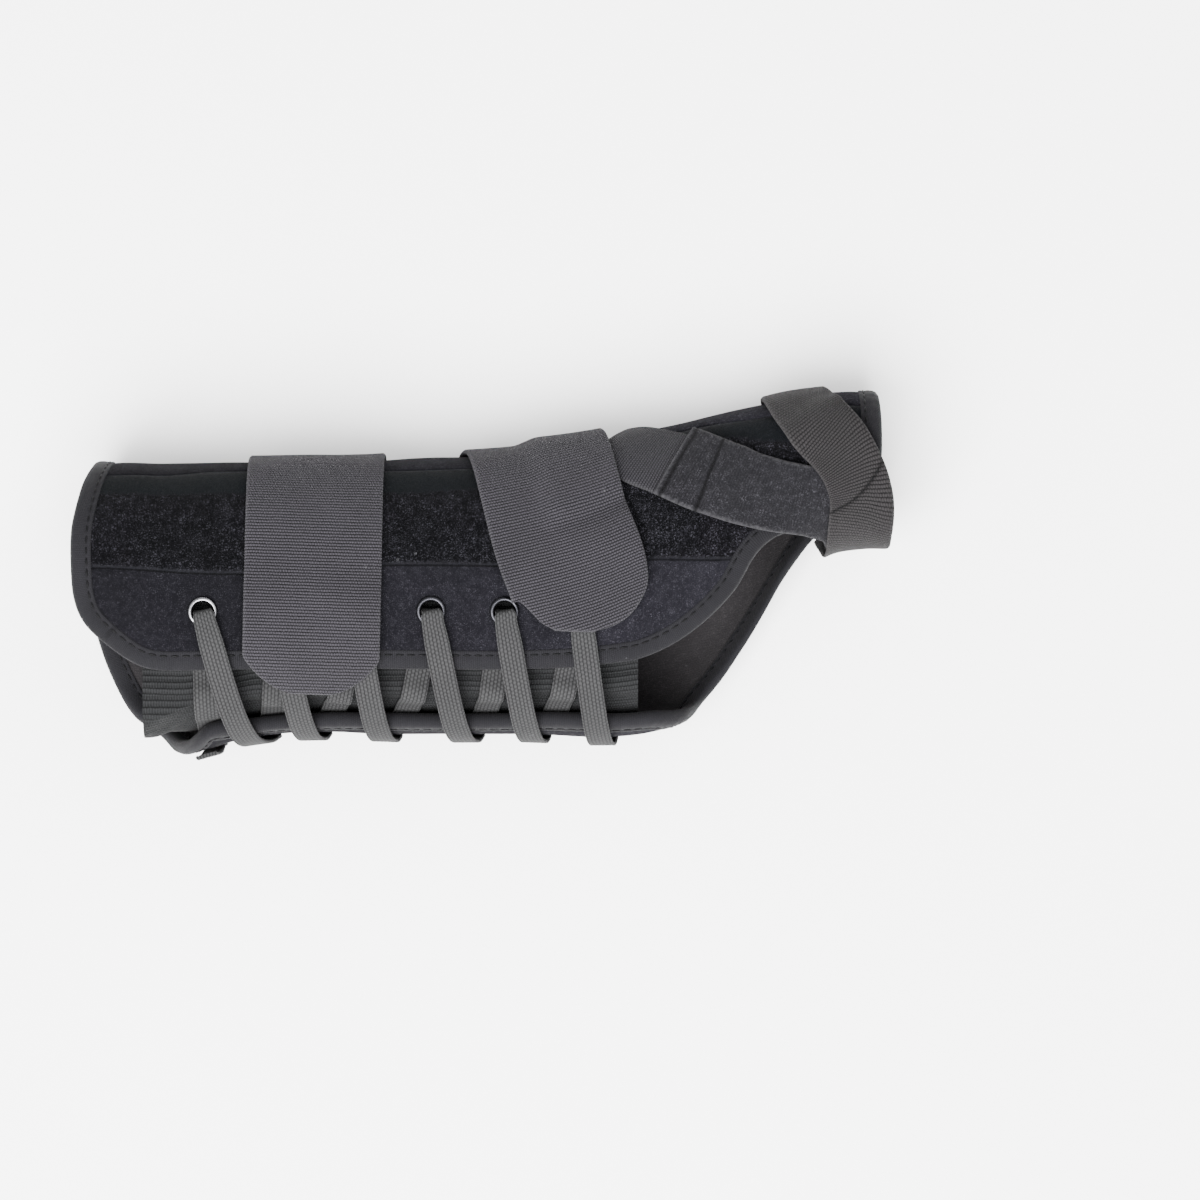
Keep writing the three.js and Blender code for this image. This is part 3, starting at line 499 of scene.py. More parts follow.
@dataclass
class Skin:
    """A closed mesh waiting to be built: points, faces and what its materials read."""

    points: np.ndarray
    faces: np.ndarray
    uv: np.ndarray
    fields: dict[str, np.ndarray] = field(default_factory=dict)
    slots: np.ndarray | None = None

    def build(self, name: str, materials: Sequence[bpy.types.Material]) -> bpy.types.Object:
        """Makes the object, with its faces pointing out.

        Args:
            name: the piece's name.
            materials: its materials, in the order of the slots.

        Returns:
            The new object.
        """
        points = (self.points.reshape(-1, 3) + SHIFT) * MM
        faces = self.faces
        a, b, c = (points[faces[:, k]] for k in (0, 1, 2))
        volume = np.einsum("ij,ij->i", a, np.cross(b, c)).sum()
        if faces.shape[1] == 4:
            d = points[faces[:, 3]]
            volume += np.einsum("ij,ij->i", a, np.cross(c, d)).sum()
        if volume < 0:
            faces = faces[:, ::-1]
        mesh = bpy.data.meshes.new(name)
        mesh.from_pydata(points.tolist(), [], faces.tolist())
        corner = np.empty(len(mesh.loops), np.int32)
        mesh.loops.foreach_get("vertex_index", corner)
        layer = mesh.uv_layers.new(name="cloth")
        layer.data.foreach_set("uv", (self.uv.reshape(-1, 2)[corner] * MM).astype(float).ravel())
        for key, values in self.fields.items():
            store = mesh.attributes.new(key, "FLOAT", "POINT")
            store.data.foreach_set("value", values.astype(float).ravel())
        for material in materials:
            mesh.materials.append(material)
        if self.slots is not None:
            mesh.polygons.foreach_set("material_index", self.slots.astype(np.int32))
        mesh.shade_smooth()
        mesh.set_sharp_from_angle(angle=SHARP)
        mesh.update()
        return place_object(name, mesh)


def slab_faces(rows: int, columns: int) -> tuple[np.ndarray, np.ndarray]:
    """Faces of a closed slab of two grids.

    Args:
        rows: cells one way.
        columns: cells the other way.

    Returns:
        The faces, and for each one 0 for the outside, 1 for the inside and 2 for a wall.
    """
    ids = np.arange((rows + 1) * (columns + 1)).reshape(rows + 1, columns + 1)
    corners = [ids[:-1, :-1], ids[:-1, 1:], ids[1:, 1:], ids[1:, :-1]]
    top = np.stack(corners, axis=-1).reshape(-1, 4)
    low = top[:, ::-1] + ids.size
    rim = np.concatenate([ids[0, :], ids[1:, -1], ids[-1, -2::-1], ids[-2:0:-1, 0]])
    after = np.roll(rim, -1)
    wall = np.stack([after, rim, rim + ids.size, after + ids.size], axis=1)
    kind = np.repeat([0, 1, 2], [len(top), len(low), len(wall)])
    return np.vstack([top, low, wall]), kind


def slab(outer: np.ndarray, inner: np.ndarray, uv: np.ndarray, **fields: np.ndarray) -> Skin:
    """Closed slab from two grids of points.

    Args:
        outer: the outside's points.
        inner: the inside's points.
        uv: the flat place of each grid point.
        **fields: values that the materials read, one for each grid point.

    Returns:
        The skin, its slots 0 outside, 1 inside and 2 on the walls.
    """
    faces, kind = slab_faces(outer.shape[0] - 1, outer.shape[1] - 1)
    points = np.vstack([outer.reshape(-1, 3), inner.reshape(-1, 3)])
    flat = np.vstack([uv.reshape(-1, 2)] * 2)
    doubled = {key: np.concatenate([v.ravel(), v.ravel()]) for key, v in fields.items()}
    return Skin(points, faces, flat, doubled, kind)


def tube(rings: np.ndarray, joined: bool, uv: np.ndarray | None = None) -> Skin:
    """Closed skin through rings of points.

    Args:
        rings: the rings, each a closed row of points.
        joined: whether the last ring meets the first, or both ends are capped.
        uv: flat places of the ring points, or none.

    Returns:
        The skin.
    """
    count, size = rings.shape[:2]
    i = np.arange(count if joined else count - 1)
    j = np.arange(size)
    a = i[:, None] * size + j[None, :]
    b = i[:, None] * size + (j[None, :] + 1) % size
    c = ((i[:, None] + 1) % count) * size + (j[None, :] + 1) % size
    d = ((i[:, None] + 1) % count) * size + j[None, :]
    faces = np.stack([a, b, c, d], axis=-1).reshape(-1, 4)
    if not joined:
        half = size // 2
        k = np.arange(half - 1)
        cap = np.stack([k + 1, k, size - 1 - k, size - 2 - k], axis=1)
        end = (count - 1) * size
        faces = np.vstack([faces, cap, cap[:, ::-1] + end])
    flat = np.zeros((count * size, 2)) if uv is None else uv
    return Skin(rings.reshape(-1, 3), faces, flat)


def place_object(name: str, data: bpy.types.ID) -> bpy.types.Object:
    """New object, linked to the scene.

    Args:
        name: its name.
        data: its mesh, camera or lamp.

    Returns:
        The object.
    """
    obj = bpy.data.objects.new(name, data)
    bpy.context.scene.collection.objects.link(obj)
    return obj


def keep_up(mesh: bpy.types.Mesh, ups: np.ndarray) -> None:
    """Keeps the outward direction at each point of a mesh.

    Args:
        mesh: the mesh.
        ups: the directions.
    """
    store = mesh.attributes.new("up", "FLOAT_VECTOR", "POINT")
    store.data.foreach_set("vector", np.asarray(ups, float).ravel())


def plain(obj: bpy.types.Object) -> bpy.types.Object:
    """Turns an object with modifiers into a plain mesh.

    Args:
        obj: the object.

    Returns:
        The same object, without modifiers.
    """
    bpy.context.view_layer.update()
    held = obj.evaluated_get(bpy.context.evaluated_depsgraph_get())
    mesh = bpy.data.meshes.new_from_object(held)
    obj.modifiers.clear()
    old = obj.data
    obj.data = mesh
    mesh.name = obj.name
    bpy.data.meshes.remove(old)
    return obj


# Inputs of the mix node, by number because their names repeat
MIX_SHARE, VALUE_A, VALUE_B, COLOUR_A, COLOUR_B = 0, 2, 3, 6, 7


class Nodes:
    """Lays nodes in one tree."""

    def __init__(self, tree: bpy.types.NodeTree) -> None:
        """Keeps the tree."""
        self.tree = tree

    def feed(self, socket: bpy.types.NodeSocket, value: object) -> None:
        """Links a socket, or sets its value.

        Args:
            socket: the input.
            value: a socket or a plain value.
        """
        if isinstance(value, bpy.types.NodeSocket):
            self.tree.links.new(value, socket)
        else:
            socket.default_value = value

    def add(self, kind: str, feeds: dict | None = None, **settings: object) -> bpy.types.Node:
        """Adds a node.

        Args:
            kind: its type.
            feeds: values or sockets, by input name or number.
            **settings: its properties.

        Returns:
            The node.
        """
        node = self.tree.nodes.new(kind)
        for key, value in settings.items():
            setattr(node, key, value)
        for key, value in (feeds or {}).items():
            self.feed(node.inputs[key], value)
        return node

    def math(self, what: str, a: object, b: object = 0.0, clamp: bool = False) -> object:
        """One sum of two values."""
        return self.add("ShaderNodeMath", {0: a, 1: b}, operation=what, use_clamp=clamp).outputs[0]

    def blend(self, factor: object, a: object, b: object, way: str = "MIX") -> bpy.types.NodeSocket:
        """Mixes two colours."""
        feeds = {MIX_SHARE: factor, COLOUR_A: a, COLOUR_B: b}
        return self.add("ShaderNodeMix", feeds, data_type="RGBA", blend_type=way).outputs[2]

    def mix(self, factor: object, a: object, b: object) -> bpy.types.NodeSocket:
        """Mixes two values."""
        return self.add("ShaderNodeMix", {MIX_SHARE: factor, VALUE_A: a, VALUE_B: b}).outputs[0]

    def group(self, tree: bpy.types.NodeTree, feeds: dict) -> bpy.types.Node:
        """Places a node group and feeds its inputs."""
        return self.add("ShaderNodeGroup", feeds, node_tree=tree)

    def attribute(self, name: str) -> bpy.types.NodeSocket:
        """Value kept on the mesh."""
        return self.add("ShaderNodeAttribute", attribute_name=name).outputs["Fac"]

    def bump(self, shader: bpy.types.Node, strength: float, distance: float, height: object) -> None:
        """Feeds a bump into a shader's normal."""
        feeds = {"Strength": strength, "Distance": distance, "Height": height}
        self.feed(shader.inputs["Normal"], self.add("ShaderNodeBump", feeds).outputs[0])

    def finish(self, end: bpy.types.Node, copies: bpy.types.Node, material: object) -> None:
        """Ends a geometry tree: its copies made real, with their material.

        Args:
            end: the tree's output node.
            copies: the node that makes the copies.
            material: the socket of their material.
        """
        real = self.add("GeometryNodeRealizeInstances", {"Geometry": copies.outputs[0]})
        feeds = {"Geometry": real.outputs[0], "Material": material}
        self.feed(end.inputs["Geometry"], self.add("GeometryNodeSetMaterial", feeds).outputs[0])

    def step(self, value: object, low: float, high: float) -> bpy.types.NodeSocket:
        """Smooth step of a value between two limits.

        Args:
            value: what is stepped.
            low: where the step starts.
            high: where it ends.

        Returns:
            A socket between 0 and 1.
        """
        feeds = {0: value, 1: low, 2: high, 3: 0.0, 4: 1.0}
        settings = {"interpolation_type": "SMOOTHSTEP"}
        return self.add("ShaderNodeMapRange", feeds, **settings).outputs[0]

    def noise(self, vector: object, scale: object, detail: float = 3.0) -> bpy.types.NodeSocket:
        """Noise between 0 and 1."""
        feeds = {"Vector": vector, "Scale": scale, "Detail": detail}
        return self.add("ShaderNodeTexNoise", feeds).outputs["Fac"]


def shader_group(name: str, inputs: dict, outputs: dict, lay: Callable) -> bpy.types.NodeTree:
    """Builds a shader node group once.

    Args:
        name: the group's name.
        inputs: socket types by name, with a default where there is one.
        outputs: socket types by name.
        lay: lays the nodes, given the tree's helper and its inputs, and returns the outputs.

    Returns:
        The group.
    """
    if name in bpy.data.node_groups:
        return bpy.data.node_groups[name]
    tree = bpy.data.node_groups.new(name, "ShaderNodeTree")
    for key, value in inputs.items():
        kind = "NodeSocketVector" if value is None else "NodeSocketFloat"
        socket = tree.interface.new_socket(name=key, in_out="INPUT", socket_type=kind)
        if value is not None:
            socket.default_value = value
    for key, kind in outputs.items():
        tree.interface.new_socket(name=key, in_out="OUTPUT", socket_type=kind)
    nodes = Nodes(tree)
    start = tree.nodes.new("NodeGroupInput")
    end = tree.nodes.new("NodeGroupOutput")
    found = lay(nodes, {key: start.outputs[key] for key in inputs})
    for key, socket in found.items():
        tree.links.new(socket, end.inputs[key])
    return tree


def pile_group() -> bpy.types.NodeTree:
    """Curly loop pile: its height and how light each loop is.

    Returns:
        The node group.
    """

    def lay(n: Nodes, s: dict) -> dict:
        """Loops as bent cells, with finer fibres over them.

        Args:
            n: the group's nodes.
            s: its inputs by name.

        Returns:
            The outputs by name.
        """
        rate = n.math("DIVIDE", 1000.0, s["Loop"])
        bend = n.add("ShaderNodeTexNoise", {"Vector": s["Vector"], "Scale": rate, "Detail": 1.0})
        turned = n.add("ShaderNodeVectorMath", {0: bend.outputs["Color"]}, operation="SCALE")
        n.feed(turned.inputs["Scale"], n.math("MULTIPLY", s["Loop"], 0.0011))
        moved = n.add("ShaderNodeVectorMath", {0: s["Vector"], 1: turned.outputs[0]})
        cell = {"Vector": moved.outputs[0], "Scale": rate}
        near = n.add("ShaderNodeTexVoronoi", cell, feature="SMOOTH_F1").outputs["Distance"]
        line = n.add("ShaderNodeTexVoronoi", cell, feature="DISTANCE_TO_EDGE").outputs["Distance"]
        fine = n.noise(moved.outputs[0], n.math("MULTIPLY", rate, 3.2), 2.0)
        wide = n.noise(s["Vector"], n.math("MULTIPLY", rate, 0.22), 2.0)
        loops = n.math("MULTIPLY", n.step(line, 0.02, 0.3), n.step(near, 0.05, 0.75))
        height = n.math("ADD", n.math("MULTIPLY", loops, 0.75), n.math("MULTIPLY", fine, 0.6))
        light = n.math("ADD", n.math("MULTIPLY", loops, 0.6), n.math("MULTIPLY", fine, 0.9))
        light = n.math("ADD", light, n.math("MULTIPLY", n.math("SUBTRACT", wide, 0.5), 0.35))
        return {"Height": height, "Light": n.step(light, 0.42, 1.12)}

    outputs = {"Height": "NodeSocketFloat", "Light": "NodeSocketFloat"}
    return shader_group("Loop Pile", {"Vector": None, "Loop": 1.0}, outputs, lay)


def weave_group() -> bpy.types.NodeTree:
    """Woven or knitted courses across a strap: height and lightness.

    Returns:
        The node group.
    """

    def lay(n: Nodes, s: dict) -> dict:
        """Courses across, each of short humps that shift by half from one to the next.

        Args:
            n: the group's nodes.
            s: its inputs by name.

        Returns:
            The outputs by name.
        """
        parts = n.add("ShaderNodeSeparateXYZ", {0: s["Vector"]}).outputs
        blur = n.noise(s["Vector"], 260.0, 2.0)
        slip = n.math("MULTIPLY", n.math("SUBTRACT", blur, 0.5), n.math("MULTIPLY", s["Slip"], 0.001))
        along = n.math("DIVIDE", n.math("ADD", parts[1], slip), n.math("MULTIPLY", s["Course"], 0.001))
        across = n.math("DIVIDE", parts[0], n.math("MULTIPLY", s["Wale"], 0.001))
        course = n.math("ABSOLUTE", n.math("SINE", n.math("MULTIPLY", along, math.pi)))
        odd = n.math("MULTIPLY", n.math("FLOOR", along), 0.5)
        hump = n.math("MULTIPLY", n.math("ADD", across, odd), 2 * math.pi)
        hump = n.math("MULTIPLY", n.math("ADD", n.math("SINE", hump), 1.0), 0.5)
        ridge = n.math("POWER", course, 0.6)
        grain = n.noise(s["Vector"], 1900.0, 2.0)
        height = n.math("MULTIPLY", ridge, n.math("ADD", n.math("MULTIPLY", hump, 0.45), 0.55))
        light = n.math("MULTIPLY", height, 0.75)
        light = n.math("ADD", light, n.math("MULTIPLY", grain, 0.5))
        return {"Height": height, "Light": n.step(light, 0.28, 0.98)}

    inputs = {"Vector": None, "Course": 0.9, "Wale": 0.9, "Slip": 0.3}
    outputs = {"Height": "NodeSocketFloat", "Light": "NodeSocketFloat"}
    return shader_group("Cloth Courses", inputs, outputs, lay)


def wear_group() -> bpy.types.NodeTree:
    """Wear and lint: a mask that grows towards an edge, and scattered lint.

    Returns:
        The node group.
    """

    def lay(n: Nodes, s: dict) -> dict:
        """Frayed edge mask and lint specks.

        Args:
            n: the group's nodes.
            s: its inputs by name.

        Returns:
            The outputs by name.
        """
        rough = n.noise(s["Vector"], 900.0, 3.0)
        broken = n.math("MULTIPLY", n.math("SUBTRACT", rough, 0.5), 2.4)
        reach = n.math("ADD", s["Edge"], n.math("MULTIPLY", broken, s["Width"]))
        edge = n.math("SUBTRACT", 1.0, n.math("DIVIDE", reach, s["Width"]), True)
        speck = n.add("ShaderNodeTexVoronoi", {"Vector": s["Vector"], "Scale": 170.0}).outputs
        lint = n.math("LESS_THAN", speck["Distance"], 0.075)
        few = n.math("GREATER_THAN", n.noise(s["Vector"], 60.0, 1.0), 0.56)
        return {"Worn": edge, "Lint": n.math("MULTIPLY", lint, few)}

    inputs = {"Vector": None, "Edge": 10.0, "Width": 1.0}
    outputs = {"Worn": "NodeSocketFloat", "Lint": "NodeSocketFloat"}
    return shader_group("Wear And Lint", inputs, outputs, lay)


def grey(r: float, g: float, b: float) -> tuple[float, float, float, float]:
    """Opaque linear colour."""
    return (r, g, b, 1.0)


WHITE = grey(1, 1, 1)


def start_material(name: str) -> tuple[bpy.types.Material, Nodes, bpy.types.Node]:
    """A new material.

    Args:
        name: its name.

    Returns:
        The material, its node helper and its shader.
    """
    material = bpy.data.materials.new(name)
    material.use_nodes = True
    nodes = Nodes(material.node_tree)
    shader = material.node_tree.nodes["Principled BSDF"]
    return material, nodes, shader


def seam_dip(n: Nodes, name: str, half: float) -> bpy.types.NodeSocket:
    """Mask of a line from the signed distance kept on the mesh.

    Args:
        n: the material's nodes.
        name: the attribute.
        half: half the line's width, in millimetres.

    Returns:
        One in the middle of the line, nothing outside it.
    """
    far = n.math("ABSOLUTE", n.attribute(name))
    return n.math("SUBTRACT", 1.0, n.step(far, 0.0, half))


@dataclass(frozen=True)
class Pile:
    """Loop-pile laminate of the wrap, brushed smooth beside its seam."""

    name: str
    dark: tuple = grey(0.0003, 0.0003, 0.0005)
    light: tuple = grey(0.0125, 0.0120, 0.0150)
    brushed_dark: tuple = grey(0.0020, 0.0019, 0.0026)
    brushed_light: tuple = grey(0.0110, 0.0105, 0.0130)
    smooth: tuple = grey(0.0007, 0.0012, 0.0015)
    loop: float = 0.95
    fuzzy: float = 0.62

    def material(self) -> bpy.types.Material:
        """Builds the material.

        Returns:
            The material.
        """
        material, n, shader = start_material(self.name)
        uv = n.add("ShaderNodeUVMap", uv_map="cloth").outputs[0]
        field_of = {}
        for key in ("seam_line", "band_top", "band_low"):
            field_of[key] = n.attribute(key)
        coarse = n.group(pile_group(), {"Vector": uv, "Loop": self.loop})
        soft = n.group(pile_group(), {"Vector": uv, "Loop": self.fuzzy})
        wander = n.math("MULTIPLY", n.math("SUBTRACT", n.noise(uv, 700.0, 3.0), 0.5), 3.0)
        low = n.math("ADD", field_of["band_low"], wander)
        top = n.math("ADD", field_of["band_top"], wander)
        below = n.math("ADD", field_of["seam_line"], n.math("MULTIPLY", wander, 0.3))
        in_pile = n.math("MULTIPLY", n.step(low, -0.8, 0.8), n.step(below, 0.5, -0.5))
        in_band = n.math("MULTIPLY", n.step(top, -0.6, 0.6), n.step(low, 0.8, -0.8))
        loops = n.blend(coarse.outputs["Light"], self.dark, self.light)
        open_pile = n.blend(coarse.outputs["Light"], self.dark, grey(*(v * 1.5 for v in self.light[:3])))
        nap = n.blend(soft.outputs["Light"], self.brushed_dark, self.brushed_light)
        along = n.add("ShaderNodeSeparateXYZ", {0: uv}).outputs[0]
        paler = n.step(along, -0.07, 0.08)
        pale = [grey(*(v * 1.9 for v in tone[:3])) for tone in (self.brushed_dark, self.brushed_light)]
        lifted = n.blend(soft.outputs["Light"], *pale)
        nap = n.blend(paler, nap, lifted)
        loops = n.blend(paler, loops, open_pile)
        drift = n.step(n.noise(uv, 45.0, 3.0), 0.3, 0.75)
        band = n.blend(soft.outputs["Light"], self.smooth, grey(*(v * 1.35 for v in self.smooth[:3])))
        colour = n.blend(in_pile, nap, loops)
        colour = n.blend(n.math("MULTIPLY", in_band, 0.85), colour, band)
        patchy = n.blend(n.math("MULTIPLY", drift, 0.35), colour, WHITE, "SOFT_LIGHT")
        dip = seam_dip(n, "seam_line", 0.8)
        fold = seam_dip(n, "band_top", 0.9)
        shade = n.math("MAXIMUM", dip, n.math("MULTIPLY", fold, 0.8))
        beside = n.math("ADD", n.math("ABSOLUTE", below), 0.4)
        worn = n.group(wear_group(), {"Vector": uv, "Edge": beside, "Width": 1.3})
        colour = n.blend(n.math("MULTIPLY", worn.outputs["Worn"], 0.55), patchy, self.light)
        colour = n.blend(n.math("MULTIPLY", shade, 0.75), colour, grey(0.004, 0.004, 0.005))
        colour = n.blend(n.math("MULTIPLY", worn.outputs["Lint"], 0.2), colour, grey(0.07, 0.07, 0.075))
        n.feed(shader.inputs["Base Color"], colour)
        rough = n.math("SUBTRACT", 1.0, n.math("MULTIPLY", in_band, 0.18))
        n.feed(shader.inputs["Roughness"], rough)
        low_nap = n.math("MULTIPLY", soft.outputs["Height"], 0.4)
        lift = n.mix(in_pile, low_nap, coarse.outputs["Height"])
        height = n.math("SUBTRACT", lift, n.math("MULTIPLY", shade, 1.6))
        n.bump(shader, 0.9, 0.0007, height)
        shader.inputs["Sheen Weight"].default_value = 0.008
        shader.inputs["Sheen Roughness"].default_value = 0.6
        shader.inputs["Specular IOR Level"].default_value = 0.03
        return material


@dataclass(frozen=True)
class Cloth:
    """Woven, knitted or brushed cloth with courses across its length."""

    name: str
    dark: tuple
    light: tuple
    course: float = 0.9
    wale: float = 0.9
    slip: float = 0.3
    relief: float = 0.3
    edge: tuple | None = None
    edge_width: float = 1.2
    sheen: float = 0.015
    rough: float = 0.85
    nap: float = 0.0
    nap_loop: float = 0.7
    lengthwise: bool = False
    shadow: float = 0.0

    def material(self) -> bpy.types.Material:
        """Builds the material.

        Returns:
            The material.
        """
        material, n, shader = start_material(self.name)
        uv = n.add("ShaderNodeUVMap", uv_map="cloth").outputs[0]
        flat = uv
        if self.lengthwise:
            parts = n.add("ShaderNodeSeparateXYZ", {0: uv}).outputs
            flat = n.add("ShaderNodeCombineXYZ", {0: parts[1], 1: parts[0]}).outputs[0]
        feeds = {"Vector": flat, "Course": self.course, "Wale": self.wale, "Slip": self.slip}
        weave = n.group(weave_group(), feeds)
        light = weave.outputs["Light"]
        height = weave.outputs["Height"]
        if self.nap:
            fuzz = n.group(pile_group(), {"Vector": uv, "Loop": self.nap_loop})
            light = n.mix(self.nap, light, fuzz.outputs["Light"])
            height = n.mix(self.nap, height, fuzz.outputs["Height"])
        colour = n.blend(light, self.dark, self.light)
        drift = n.step(n.noise(uv, 55.0, 3.0), 0.3, 0.75)
        colour = n.blend(n.math("MULTIPLY", drift, 0.16), colour, WHITE, "SOFT_LIGHT")
        feeds = {"Vector": uv, "Edge": n.attribute("edge"), "Width": self.edge_width}
        worn = n.group(wear_group(), feeds)
        if self.edge is not None:
            colour = n.blend(n.math("MULTIPLY", worn.outputs["Worn"], 0.7), colour, self.edge)
        colour = n.blend(n.math("MULTIPLY", worn.outputs["Lint"], 0.12), colour, grey(0.1, 0.1, 0.105))
        if self.shadow:
            sewn = n.math("MULTIPLY", seam_dip(n, "sewn", 1.1), self.shadow)
            colour = n.blend(sewn, colour, grey(*(v * 0.35 for v in self.dark[:3])))
        n.feed(shader.inputs["Base Color"], colour)
        grain = n.math("MULTIPLY", n.math("SUBTRACT", n.noise(uv, 400.0, 2.0), 0.5), 0.15)
        n.feed(shader.inputs["Roughness"], n.math("ADD", grain, self.rough, True))
        n.bump(shader, 0.9, self.relief * MM, height)
        shader.inputs["Sheen Weight"].default_value = self.sheen
        shader.inputs["Sheen Roughness"].default_value = 0.5
        shader.inputs["Specular IOR Level"].default_value = 0.08
        return material


@dataclass(frozen=True)
class Metal:
    """Rolled sheet metal of an eyelet."""

    name: str
    colour: tuple
    rough: float = 0.16

    def material(self) -> bpy.types.Material:
        """Builds the material.

        Returns:
            The material.
        """
        material, n, shader = start_material(self.name)
        place = n.add("ShaderNodeTexCoord").outputs["Object"]
        fine = n.noise(place, 2400.0, 4.0)
        smear = n.noise(place, 500.0, 3.0)
        dull = grey(*(v * 0.72 for v in self.colour[:3]))
        n.feed(shader.inputs["Base Color"], n.blend(n.step(smear, 0.45, 0.8), self.colour, dull))
        rough = n.math("ADD", n.math("MULTIPLY", smear, 0.14), self.rough - 0.05)
        n.feed(shader.inputs["Roughness"], rough)
        n.bump(shader, 0.25, 0.00004, fine)
        shader.inputs["Metallic"].default_value = 1.0
        return material


@dataclass(frozen=True)
class Thread:
    """Sewing thread."""

    name: str
    colour: tuple

    def material(self) -> bpy.types.Material:
        """Builds the material.

        Returns:
            The material.
        """
        material, n, shader = start_material(self.name)
        place = n.add("ShaderNodeTexCoord").outputs["Object"]
        twist = n.noise(place, 3000.0, 2.0)
        light = grey(*(v * 1.8 for v in self.colour[:3]))
        n.feed(shader.inputs["Base Color"], n.blend(twist, self.colour, light))
        n.feed(shader.inputs["Roughness"], n.math("ADD", n.math("MULTIPLY", twist, 0.2), 0.55))
        n.bump(shader, 0.6, 0.0001, twist)
        shader.inputs["Specular IOR Level"].default_value = 0.1
        return material


PILE = Pile("loop_pile_laminate")
LINING = Cloth(
    "brushed_lining", grey(0.006, 0.0055, 0.006), grey(0.018, 0.0165, 0.0175), nap=0.8, relief=0.2,
)
TAPE = Cloth(
    "edge_tape", grey(0.0022, 0.0021, 0.0026), grey(0.0062, 0.0060, 0.0072), course=0.55, wale=0.6,
    relief=0.10, sheen=0.015, rough=0.8,
)
RIB = Cloth(
    "rib_knit", grey(0.0012, 0.0013, 0.0014), grey(0.0096, 0.0099, 0.0103), course=1.7, wale=0.8,
    slip=0.25, relief=0.3, sheen=0.015,
)
WEB = Cloth(
    "strap_web", grey(0.0001, 0.0001, 0.0002), grey(0.0235, 0.0218, 0.0258), course=0.88, wale=0.8,
    relief=0.6, edge=grey(0.026, 0.025, 0.028), edge_width=0.9,
)
NARROW_WEB = Cloth(
    "narrow_web", grey(0.0012, 0.0011, 0.0014), grey(0.0155, 0.0148, 0.0170), course=0.8, wale=0.7,
    relief=0.30, edge=grey(0.018, 0.0175, 0.019), edge_width=0.8,
)
LOOP_STRAP = Cloth(
    "loop_strap", grey(0.0022, 0.0021, 0.0027), grey(0.0215, 0.0208, 0.0240), nap=0.85, nap_loop=0.8,
    relief=0.4, edge=grey(0.026, 0.0255, 0.0275), edge_width=1.2, sheen=0.015, rough=0.95,
    shadow=0.8,
)
ELASTIC = Cloth(
    "elastic_band", grey(0.0008, 0.0007, 0.0008), grey(0.0140, 0.0130, 0.0134), course=0.85, wale=0.8,
    relief=0.34, edge=grey(0.018, 0.0172, 0.0176), edge_width=0.8, shadow=0.6,
)
LACE = Cloth(
    "lace_cord", grey(0.0055, 0.0055, 0.0057), grey(0.0215, 0.0215, 0.0220), course=1.0571, wale=1.3,
    slip=0.15, relief=0.25, sheen=0.015, lengthwise=True,
)
BRIGHT = Metal("bright_eyelet", grey(0.17, 0.17, 0.18), 0.2)
GUN = Metal("dark_eyelet", grey(0.028, 0.028, 0.032), 0.4)
DARK_THREAD = Thread("dark_thread", grey(0.0005, 0.0005, 0.0007))


def settle(piece: bpy.types.Object, nodes: Sequence[str] = ()) -> bpy.types.Object:
    """Rides a piece on the root body and reports it.

    Args:
        piece: the finished piece.
        nodes: the solids that it stands for.

    Returns:
        The piece.
    """
    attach(piece, "root")
    if nodes:
        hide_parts(*nodes)
    count = sum(len(p.vertices) - 2 for p in piece.data.polygons)
    log.info("%s: %d triangles", piece.name, count)
    return piece


